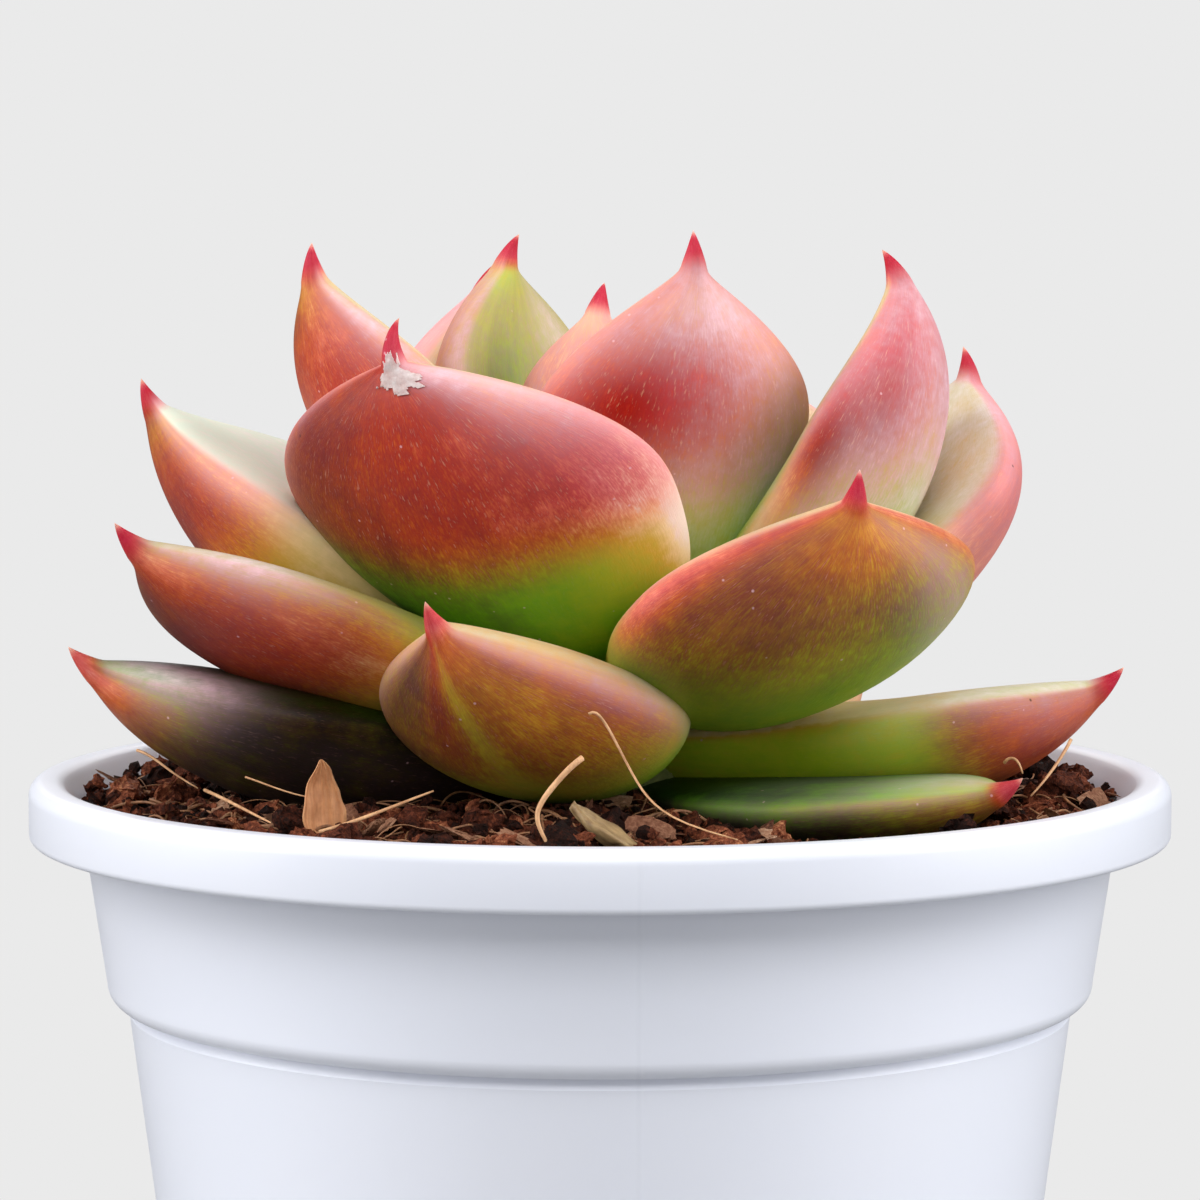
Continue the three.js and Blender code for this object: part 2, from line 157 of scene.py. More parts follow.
class Shader:
    """A material's node tree, put together from wires and plain numbers."""

    def __init__(self, name: str) -> None:
        """Starts an empty material.

        Args:
            name: the material's name.
        """
        self.material = bpy.data.materials.new(name)
        self.material.use_nodes = True
        self.tree = self.material.node_tree
        self.tree.nodes.clear()

    def node(
        self, kind: str, settings: dict | None = None, inputs: dict | None = None, output: int | str = 0
    ) -> Wire:
        """Adds one node.

        Args:
            kind: the node's type.
            settings: its properties, set first. The key stops fills a colour ramp.
            inputs: values or wires, by socket name or number.
            output: the socket that the returned wire starts from.

        Returns:
            A wire from that output.
        """
        made = self.tree.nodes.new(kind)
        for key, value in (settings or {}).items():
            if key == "stops":
                self._fill_ramp(made.color_ramp, value)
            else:
                setattr(made, key, value)
        for key, value in (inputs or {}).items():
            if isinstance(value, Wire):
                self.tree.links.new(value.socket, made.inputs[key])
            else:
                made.inputs[key].default_value = value
        return Wire(self, made.outputs[output] if made.outputs else None)

    @staticmethod
    def _fill_ramp(ramp: bpy.types.ColorRamp, stops: Stops) -> None:
        """Fills a colour ramp from places and linear colours.

        Args:
            ramp: the node's ramp.
            stops: each stop's place and colour.
        """
        while len(ramp.elements) < len(stops):
            ramp.elements.new(0.5)
        for element, (place, colour) in zip(ramp.elements, stops):
            element.position = place
            element.color = (*colour, 1.0)

    def point(self) -> Wire:
        """The place on the object, in millimetres."""
        return self.scaled(self.node("ShaderNodeTexCoord", output="Object"), (1.0 / MM,) * 3)

    def scaled(self, vector: Wire, factors: Triple) -> Wire:
        """A vector with each part multiplied."""
        return self.node("ShaderNodeVectorMath", {"operation": "MULTIPLY"}, {0: vector, 1: factors})

    def attribute(self, name: str) -> Wire:
        """A vector attribute of the mesh."""
        return self.node("ShaderNodeAttribute", {"attribute_name": name}, output="Vector")

    def parts(self, vector: Wire) -> tuple[Wire, Wire, Wire]:
        """The three parts of a vector."""
        split = self.node("ShaderNodeSeparateXYZ", {}, {0: vector}).socket.node
        return tuple(Wire(self, split.outputs[i]) for i in range(3))

    def noise(self, vector: Wire, scale: float, detail: float = 3.0, rough: float = 0.55) -> Wire:
        """Soft noise round 0.5, with scale in features per millimetre."""
        inputs = {"Vector": vector, "Scale": scale, "Detail": detail, "Roughness": rough}
        return self.node("ShaderNodeTexNoise", {}, inputs)

    def dots(self, vector: Wire, scale: float, size: float, share: float) -> Wire:
        """Small round dots: one to a cell of the given scale, in a share of the cells.

        Args:
            vector: the place.
            scale: cells per millimetre.
            size: a dot's radius, as a share of its cell.
            share: how many of the cells have one.

        Returns:
            A wire that is 1 in the dots.
        """
        cells = self.node("ShaderNodeTexVoronoi", {}, {"Vector": vector, "Scale": scale}).socket.node
        near = Wire(self, cells.outputs["Distance"]).stepped(size, size * 0.4)
        drawn, _, _ = self.parts(Wire(self, cells.outputs["Color"]))
        return near * drawn.stepped(1.0 - share, 1.0 - share + 0.02)

    def mix(
        self, factor: Wire | float, first: Wire | Triple, second: Wire | Triple, how: str = "MIX"
    ) -> Wire:
        """Two colours mixed by a Mix node.

        Args:
            factor: how much of the second.
            first: a colour or a wire.
            second: a colour or a wire.
            how: the blend type.

        Returns:
            A wire with the colour.
        """
        first, second = (c if isinstance(c, Wire) else (*c, 1.0) for c in (first, second))
        settings = {"data_type": "RGBA", "blend_type": how}
        return self.node("ShaderNodeMix", settings, {0: factor, 6: first, 7: second}, output=2)

    def ramp(self, factor: Wire, stops: Stops) -> Wire:
        """A colour ramp."""
        return self.node("ShaderNodeValToRGB", {"stops": stops}, {0: factor})

    def principled(self, colour: Wire, rough: Wire, height: Wire, strength: float, others: dict) -> Material:
        """Ends the tree in a Principled shader with a bump.

        Args:
            colour: the base colour.
            rough: the roughness, which is held between 0 and 1 here.
            height: the relief, in millimetres.
            strength: how strongly the relief shows.
            others: values or wires of its other sockets.

        Returns:
            The material.
        """
        relief = {"Height": height, "Distance": MM, "Strength": strength}
        bump = self.node("ShaderNodeBump", {}, relief)
        varied = {"Base Color": colour, "Roughness": rough.clamped(), "Normal": bump}
        skin = self.node("ShaderNodeBsdfPrincipled", {}, varied | others)
        self.node("ShaderNodeOutputMaterial", {}, {"Surface": skin})
        return self.material


def light_inside(weight: float, tint: Triple, reach: float) -> dict:
    """The Principled sockets for light that goes into a skin, with its reach in millimetres."""
    return {"Subsurface Weight": weight, "Subsurface Radius": tint, "Subsurface Scale": reach * MM}


@dataclass(frozen=True)
class LeafSkin:
    """Waxy leaf: green flesh under a red blush, with a pale bloom on top."""

    flesh: Stops = (
        (0.0, (0.90, 0.70, 0.66)),
        (0.12, (0.90, 0.66, 0.38)),
        (0.28, (0.66, 0.44, 0.045)),
        (0.5, (0.39, 0.50, 0.02)),
        (0.75, (0.15, 0.41, 0.001)),
        # The near-black last stop is painted shade: leaves whose green runs to 1 are darkened with it where
        # they lie in shade.
        (1.0, (0.012, 0.05, 0.002)),
    )
    blush: Stops = (
        (0.0, (1.0, 1.0, 1.0)),
        (0.25, (0.96, 0.58, 0.50)),
        (0.5, (0.82, 0.23, 0.22)),
        (0.75, (0.66, 0.068, 0.12)),
        (1.0, (0.56, 0.012, 0.075)),
    )
    pink_bloom: Triple = (0.86, 0.56, 0.63)
    mint_bloom: Triple = (0.72, 0.78, 0.64)
    hair: Triple = (0.86, 0.50, 0.30)
    roughness: float = 0.42

    def material(self) -> Material:
        """The material, which reads each leaf's pigment and grain attributes.

        Returns:
            The material.
        """
        s = Shader("leaf_skin")
        point = s.point()
        grain = s.attribute("grain")
        green, red, bloom = s.parts(s.attribute("pigment"))
        stroke = s.noise(s.scaled(grain, (1.0, 1.0, 0.3)), 4.3, 2.2, 0.6) - 0.5
        streak = s.noise(s.scaled(grain, (1.0, 1.0, 0.14)), 0.5, 3.0, 0.55) - 0.5
        mottle = s.noise(point, 0.8, 5.0, 0.62) - 0.5
        patch = s.noise(point, 0.14, 2.0, 0.5) - 0.5
        present = (red * 2.4).clamped()
        redder = red + present * (stroke * 0.85 + streak * 0.22 + mottle * 0.42 + patch * 0.45)
        greener = green + streak * 0.12 + patch * 0.30 + mottle * 0.2 + stroke * 0.10
        body = s.ramp(greener.clamped(), self.flesh)
        colour = s.mix(1.0, body, s.ramp(redder.clamped(), self.blush), "MULTIPLY")
        # The bloom film is mostly real waxy bloom. Where a leaf's colours put painted sheen, highlight or
        # rim light into the bloom layer, this film paints them.
        film = (bloom * (0.8 + mottle * 1.1 + stroke * 0.9 + patch * 0.9)).clamped()
        film_colour = s.mix((red * 3.0).clamped(), self.mint_bloom, self.pink_bloom)
        colour = s.mix(film, colour, film_colour)
        hairs = stroke.stepped(0.08, 0.24) * (0.12 + present * 0.24) * (1.2 - green).clamped()
        colour = s.mix(hairs, colour, self.hair)
        dust = s.dots(point, 0.8, 0.13, 0.14) * 0.5
        colour = s.mix(dust, colour, self.pink_bloom)
        specks = s.dots(point, 0.16, 0.03, 0.3) * 0.85
        colour = s.mix(specks, colour, (0.07, 0.02, 0.012))
        rough = self.roughness + film * 0.2 + mottle * 0.14 + stroke * 0.12
        height = stroke * 0.05 + mottle * 0.07 + s.noise(point, 5.0, 2.0) * 0.012
        others = {**light_inside(0.06, (1.0, 0.35, 0.12), 2.2), "Specular IOR Level": 0.16}
        return s.principled(colour, rough, height, 0.6, others)


@dataclass(frozen=True)
class PotPlastic:
    """Smooth cool-white moulded plastic with a faint mould line."""

    colour: Triple = (0.78, 0.81, 0.90)
    seam_x: float = 3.2
    seam_width: float = 0.35

    def material(self) -> Material:
        """The material."""
        s = Shader("pot_plastic")
        point = s.point()
        x, y, _ = s.parts(point)
        cloud = s.noise(point, 0.035, 3.0) - 0.5
        fine = s.noise(point, 0.9, 4.0) - 0.5
        seam = abs(x - self.seam_x).stepped(self.seam_width, 0.0)
        seam = seam * (y * -1.0).stepped(0.0, 20.0)
        scuffs = s.noise(s.scaled(point, (0.5, 0.5, 3.0)), 0.55, 5.0, 0.7).stepped(0.66, 0.8)
        colour = s.mix((0.5 + cloud * 1.6).clamped(), self.colour, (0.80, 0.82, 0.90))
        colour = s.mix(seam * 0.05 + scuffs * 0.03, colour, (0.55, 0.57, 0.64))
        rough = 0.33 + cloud * 0.12 + fine * 0.05 + scuffs * 0.1
        height = seam * 0.03 + fine * 0.004 + s.noise(point, 0.11, 2.0) * 0.05
        return s.principled(colour, rough, height, 0.7, light_inside(0.08, (1.0, 1.0, 1.1), 1.2))


@dataclass(frozen=True)
class BarkTone:
    """Damp bark, coir or peat: dark to light tones, spread over the pieces of one mesh."""

    name: str
    tones: Stops
    # A shift of every tone. The bed's negative shift is painted shade: it darkens the bed that shows in the
    # gaps between the loose pieces.
    light: float = 0.0

    def material(self) -> Material:
        """The material."""
        s = Shader(self.name)
        point = s.point()
        piece = s.node("ShaderNodeNewGeometry", output="Random Per Island")
        flow = s.noise(s.scaled(point, (1.0, 1.6, 0.5)), 1.6, 4.0, 0.65) - 0.5
        crumb = s.noise(point, 3.2, 4.0, 0.7) - 0.5
        broad = s.noise(point, 0.25, 2.0) - 0.5
        tone = piece * 0.55 + 0.22 + flow * 0.7 + crumb * 1.0 + broad * 0.5 + self.light
        colour = s.ramp(tone.clamped(), self.tones)
        height = crumb * 0.34 + flow * 0.3
        return s.principled(colour, 0.72 + crumb * 0.3, height, 1.0, {"Specular IOR Level": 0.14})


@dataclass(frozen=True)
class DryTissue:
    """Dead papery leaf or straw, with veins along it."""

    name: str
    dark: Triple
    light: Triple
    vein_scale: float = 1.8

    def material(self) -> Material:
        """The material, which reads the grain attribute where there is one.

        Returns:
            The material.
        """
        s = Shader(self.name)
        point = s.point()
        grain = s.attribute("grain")
        vein = s.noise(s.scaled(grain, (1.0, 1.0, 0.12)), self.vein_scale, 3.0, 0.6) - 0.5
        blot = s.noise(point, 0.8, 4.0, 0.65) - 0.5
        tone = (0.55 + vein * 1.5 + blot * 1.3).clamped()
        colour = s.mix(tone, self.dark, self.light)
        height = vein * 0.12 + blot * 0.08
        others = light_inside(0.1, (1.0, 0.6, 0.3), 0.6)
        return s.principled(colour, 0.62 + blot * 0.3, height, 0.8, others)


@dataclass(frozen=True)
class SkinFilm:
    """Torn whitish skin, thin enough to let light through."""

    colour: Triple = (0.90, 0.66, 0.62)

    def material(self) -> Material:
        """The material."""
        s = Shader("skin_film")
        blot = s.noise(s.point(), 1.4, 4.0, 0.6) - 0.5
        colour = s.mix((0.4 + blot * 1.8).clamped(), self.colour, (0.94, 0.86, 0.83))
        others = {"Alpha": (0.76 + blot * 0.8).clamped(), **light_inside(0.3, (1.0, 0.6, 0.5), 0.5)}
        return s.principled(colour, 0.45 + blot * 0.3, blot * 0.1, 0.8, others)


def linked(name: str, data: bpy.types.ID) -> Object:
    """A new object in the scene, made of the given data."""
    made = bpy.data.objects.new(name, data)
    bpy.context.scene.collection.objects.link(made)
    return made


def object_from(bm: BMesh, name: str, material: Material, rounded: bool = True) -> Object:
    """Turns a bmesh in metres into a linked object, and frees it.

    Args:
        bm: the mesh.
        name: the object's name.
        material: its only material.
        rounded: whether its faces are shaded smooth.

    Returns:
        The object.
    """
    mesh = bpy.data.meshes.new(name)
    bm.to_mesh(mesh)
    bm.free()
    mesh.polygons.foreach_set("use_smooth", [rounded] * len(mesh.polygons))
    mesh.materials.append(material)
    return linked(name, mesh)


def finished_mesh(thing: Object) -> Mesh:
    """A mesh of the object as its modifiers or its curve's bevel make it."""
    return bpy.data.meshes.new_from_object(thing.evaluated_get(bpy.context.evaluated_depsgraph_get()))


def corners_of(mesh: Mesh) -> np.ndarray:
    """The mesh's vertices as rows of x, y and z."""
    flat = np.zeros(len(mesh.vertices) * 3)
    mesh.vertices.foreach_get("co", flat)
    return flat.reshape(-1, 3)


def set_corners(mesh: Mesh, places: np.ndarray) -> None:
    """Moves the mesh's vertices to the given rows."""
    mesh.vertices.foreach_set("co", places.reshape(-1))
    mesh.update()


def add_attribute(mesh: Mesh, name: str, rows: np.ndarray) -> None:
    """Adds a vector to each vertex."""
    layer = mesh.attributes.new(name, "FLOAT_VECTOR", "POINT")
    layer.data.foreach_set("vector", rows.astype(np.float32).reshape(-1))


def place_piece(piece: Object, slot: str, *nodes: str) -> None:
    """Makes a piece ride on the plant's one body and reports it.

    Args:
        piece: the finished object.
        slot: not used.
        nodes: the CAD nodes that it stands for.
    """
    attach(piece, ROOT)
    if nodes:
        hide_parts(*nodes)
    log.info("%s: %d faces, for %s", piece.name, len(piece.data.polygons), ", ".join(nodes) or "no node")


def thicken(bm: BMesh, thickness: float) -> None:
    """Gives an open sheet its thickness, with its faces outwards."""
    bmesh.ops.solidify(bm, geom=bm.faces, thickness=thickness)
    bmesh.ops.recalc_face_normals(bm, faces=bm.faces)


def spun(outline: Iterable[Pair], steps: int, centre_x: float = 0.0) -> BMesh:
    """A closed solid of revolution.

    Args:
        outline: radius and height in millimetres, from the axis round to the axis.
        steps: how many sides it gets.
        centre_x: where its axis stands.

    Returns:
        The mesh, in metres, with its faces outwards.
    """
    bm = bmesh.new()
    ring = [bm.verts.new((r * MM, 0.0, z * MM)) for r, z in outline]
    edges = [bm.edges.new(pair) for pair in zip(ring, ring[1:])]
    upwards = Vector((0.0, 0.0, 1.0))
    bmesh.ops.spin(bm, geom=ring + edges, axis=upwards, angle=math.tau, steps=steps, use_merge=True)
    bmesh.ops.remove_doubles(bm, verts=bm.verts, dist=1e-6)
    bmesh.ops.recalc_face_normals(bm, faces=bm.faces)
    bmesh.ops.translate(bm, verts=bm.verts, vec=(centre_x * MM, 0.0, 0.0))
    return bm


def arc(centre: Pair, radius: float, start: float, end: float, steps: int) -> list[Pair]:
    """Points on an arc of an outline, by angle in degrees."""
    angles = [math.radians(start + (end - start) * i / steps) for i in range(steps + 1)]
    return [(centre[0] + radius * math.cos(a), centre[1] + radius * math.sin(a)) for a in angles]


class Pigment(Enum):
    """What a stain on a leaf changes."""

    GREEN = 0
    RED = 1
    # The bloom layer: real waxy bloom, and on some leaves painted sheen and highlights as well.
    BLOOM_AND_SHEEN = 2


@dataclass(frozen=True)
class Stain:
    """A soft local change of one pigment: its place along and around the leaf, and its reach there."""

    pigment: Pigment
    along: float
    around: float
    length: float
    spread: float
    amount: float


@dataclass(frozen=True)
class LeafFlush:
    """How a leaf is coloured from its base to its point.

    Each pair is the value at the base and towards the point, and each reach is where along the leaf the
    change begins and ends. Outer is the face away from the stem, inner the face towards it. The pale band
    along the margins is partly real bloom, partly painted rim light.
    """

    green: Pair = (0.80, 0.30)
    green_reach: Pair = (0.25, 0.62)
    red: Pair = (0.0, 0.55)
    red_reach: Pair = (0.35, 0.68)
    inner_green: Pair = (0.62, 0.30)
    inner_red: float = 0.10
    inner_bloom: float = 0.45
    outer_bloom: float = 0.04
    edge_green: float = 0.12
    edge_red: float = 0.25
    # The margin band's pale bloom is partly real bloom, partly painted rim light.
    edge_bloom_and_rim_light: float = 0.25
    tip_red: float = 0.95
    edge: float = 0.75
    stains: tuple[Stain, ...] = ()

    TIP_GREEN = 0.04
    END_RED = 0.25
    END_BLOOM = 0.2

    def pigments(self, along: np.ndarray, around: np.ndarray, spine_from: float) -> np.ndarray:
        """The three pigments at each vertex.

        Args:
            along: place from the base, 0, to the point, 1.
            around: angle in radians from the right margin through the inner face.
            spine_from: where along the leaf its point begins.

        Returns:
            Rows of green, red and bloom.
        """
        facing = np.sin(around)
        inner = smooth(-0.05, 0.42, facing)
        margin = np.exp(-((facing / 0.30) ** 2)) * smooth(0.05, 0.35, along) * self.edge
        ripening, reddening = smooth(*self.green_reach, along), smooth(*self.red_reach, along)
        green = between(between(*self.green, ripening), between(*self.inner_green, ripening), inner)
        red = between(between(*self.red, reddening), self.inner_red * smooth(0.2, 0.7, along), inner)
        outer_bloom = self.outer_bloom * smooth(0.1, 0.4, along)
        bloom = between(outer_bloom, self.inner_bloom * smooth(0.15, 0.6, along), inner)
        layers = [
            between(green, self.edge_green, margin),
            between(red, self.edge_red * (0.1 + 0.9 * reddening), margin),
            # Bloom along the margin band: partly real bloom, partly painted rim light.
            between(bloom, self.edge_bloom_and_rim_light, margin),
        ]
        for stain in self.stains:
            turn = (np.degrees(around) - stain.around + 180.0) % 360.0 - 180.0
            reach = ((along - stain.along) / stain.length) ** 2 + (turn / stain.spread) ** 2
            layers[stain.pigment.value] = layers[stain.pigment.value] + stain.amount * np.exp(-reach)
        green, red, bloom = layers
        tip = smooth(spine_from - 0.02, spine_from + 0.035, along)
        end = smooth(0.98, 0.998, along)
        green = between(green, self.TIP_GREEN, tip)
        red = between(between(red, self.tip_red, tip), self.END_RED, end)
        bloom = bloom * (1.0 - tip) + self.END_BLOOM * end
        return np.stack([green, red, bloom], axis=-1)


@dataclass(frozen=True)
class Leaf:
    """One leaf of the rosette, drawn out along its rib with the same rule as its solid."""

    age: int
    turn: float
    height: float
    length: float
    width: float
    thickness: float
    lift: float
    reach: float = 4.2
    curl: float = 30.0
    sway: float = 0.0
    roll: float = 0.0
    widest: float = 0.58
    taper: float = 1.1
    cup: float = 0.1
    hook: float = 25.0
    point: float = 3.0
    point_radius: float = 1.1
    flush: LeafFlush = field(default_factory=LeafFlush)

    BASE_WIDTH = 0.42
    BASE_THICKNESS = 0.6
    FULLEST = 0.42
    UPPER_SHARE = 0.75
    RIB_STEPS = 240
    GROWN_FROM = 26.0
    ROWS_TO_POINT = 1.35
    GRAIN_APART = 37.0

    @property
    def node(self) -> str:
        """The name of the CAD node."""
        return f"leaf_{self.age + 1:02d}"

    @property
    def spine_from(self) -> float:
        """Where along the leaf its point begins."""
        return 1.0 - self.point / self.length

    def slope(self, s: np.ndarray) -> np.ndarray:
        """The rib's slope in radians at s."""
        bend = rise(self.spine_from - 0.03, 1.0, s) ** 1.5
        return np.radians(self.lift + self.curl * s**1.3 + self.hook * bend)

    def heading(self, s: np.ndarray) -> np.ndarray:
        """The rib's heading in radians at s."""
        return np.radians(self.turn + self.sway * s**1.2)

    def direction(self, s: np.ndarray) -> np.ndarray:
        """The rib's direction at s."""
        flat, head = np.cos(self.slope(s)), self.heading(s)
        return np.stack([flat * np.sin(head), -flat * np.cos(head), np.sin(self.slope(s))], axis=-1)

    def rib(self, s: np.ndarray) -> np.ndarray:
        """The rib's place at s, in millimetres.

        Args:
            s: places along the leaf.

        Returns:
            Rows of x, y and z.
        """
        steps = self.RIB_STEPS
        middles = (np.arange(steps) + 0.5) / steps
        x, y = heading_point(self.turn, self.reach)
        start = np.array([ROSETTE_X + x, y, self.height])
        walked = np.vstack([np.zeros(3), np.cumsum(self.direction(middles), axis=0)])
        places = start + walked * self.length / steps
        knots = np.arange(steps + 1)
        return np.stack([np.interp(s * steps, knots, places[:, k]) for k in range(3)], axis=-1)

    def section(self, s: np.ndarray) -> tuple[np.ndarray, np.ndarray]:
        """Half the width and half the thickness at s.

        Args:
            s: places along the leaf.

        Returns:
            The two halves, in millimetres.
        """
        spine = self.point_radius * rise(1.0, self.spine_from, s) ** 0.9
        outwards = np.sin(np.pi / 2 * np.minimum(1.0, s / self.widest)) ** 1.25
        tapering = (1.0 - rise(self.widest, self.spine_from, s) ** 2.2) ** self.taper
        breadth = np.where(s <= self.widest, between(self.BASE_WIDTH, 1.0, outwards), tapering)
        swelling = np.sin(np.pi / 2 * np.minimum(1.0, s / self.FULLEST))
        thinning = (1.0 - rise(self.FULLEST, self.spine_from, s) ** 2.3) ** 0.7
        depth = np.where(s <= self.FULLEST, between(self.BASE_THICKNESS, 1.0, swelling), thinning)
        return np.hypot(self.width / 2 * breadth, spine), np.hypot(self.thickness / 2 * depth, spine)

    def skin(self, s: np.ndarray, around: np.ndarray, proud: float = 0.0) -> np.ndarray:
        """Places on the leaf's skin.

        Args:
            s: place along the leaf.
            around: angle in radians from the right margin through the inner face.
            proud: how far outside the skin the place is, in millimetres.

        Returns:
            Rows of x, y and z in millimetres.
        """
        half_width, half_depth = self.section(s)
        facing = np.sin(around)
        waves = np.sin(s * self.length * 0.31 + 2.0 * around + self.age) * np.sin(s * 5.0 + self.age * 1.7)
        swell = 1.0 + 0.014 * waves * np.sin(np.pi * np.clip(s, 0.0, 1.0))
        share = np.where(facing > 0.0, self.UPPER_SHARE, 2.0 - self.UPPER_SHARE)
        bulge = half_depth * between(share, 1.0, rise(self.spine_from, 1.0, s)) * swell + proud
        cup = self.cup * np.sin(np.pi * rise(0.0, self.spine_from, s)) ** 0.6
        keel = np.where(facing > 0.0, 1.0, 1.15)
        across = (half_width * swell + proud) * np.cos(around)
        up = bulge * np.sign(facing) * np.abs(facing) ** keel + cup * half_width * np.cos(around) ** 2
        head = self.heading(s)
        side = np.stack([np.cos(head), np.sin(head), 0.0 * head], axis=-1)
        normal = np.cross(self.direction(s), side)
        roll = np.radians(self.roll * (0.3 + 0.7 * s))[..., None]
        blade_side = side * np.cos(roll) + normal * np.sin(roll)
        blade_up = normal * np.cos(roll) - side * np.sin(roll)
        return self.rib(s) + across[..., None] * blade_side + up[..., None] * blade_up

    def build(self, material: Material) -> None:
        """Draws a ball out into the leaf and gives each vertex its pigment and grain.

        Args:
            material: the leaf's skin.
        """
        rows, sides = (72, 80) if self.length > self.GROWN_FROM else (44, 48)
        ball = bmesh.new()
        bmesh.ops.create_uvsphere(ball, u_segments=sides, v_segments=rows, radius=1.0)
        piece = object_from(ball, f"fleshy_{self.node}", material)
        unit = corners_of(piece.data)
        row = np.rint((1.0 - np.arccos(np.clip(unit[:, 2], -1.0, 1.0)) / np.pi) * rows)
        s = np.where(row == 0, 0.0, 1.0 - (1.0 - (row - 1.0) / (rows - 1.0)) ** self.ROWS_TO_POINT)
        around = np.arctan2(unit[:, 1], unit[:, 0])
        places = self.skin(s, around)
        on_axis = (row == 0) | (row == rows)
        places[on_axis] = self.rib(s[on_axis])
        set_corners(piece.data, places * MM)
        add_attribute(piece.data, "pigment", self.flush.pigments(s, around, self.spine_from))
        reach = self.width / 2.0
        grain = np.stack([reach * np.cos(around), reach * np.sin(around), s * self.length], axis=-1)
        add_attribute(piece.data, "grain", grain + self.GRAIN_APART * self.age)
        place_piece(piece, "leaf", self.node)


GREEN, RED, BLOOM_AND_SHEEN = Pigment.GREEN, Pigment.RED, Pigment.BLOOM_AND_SHEEN


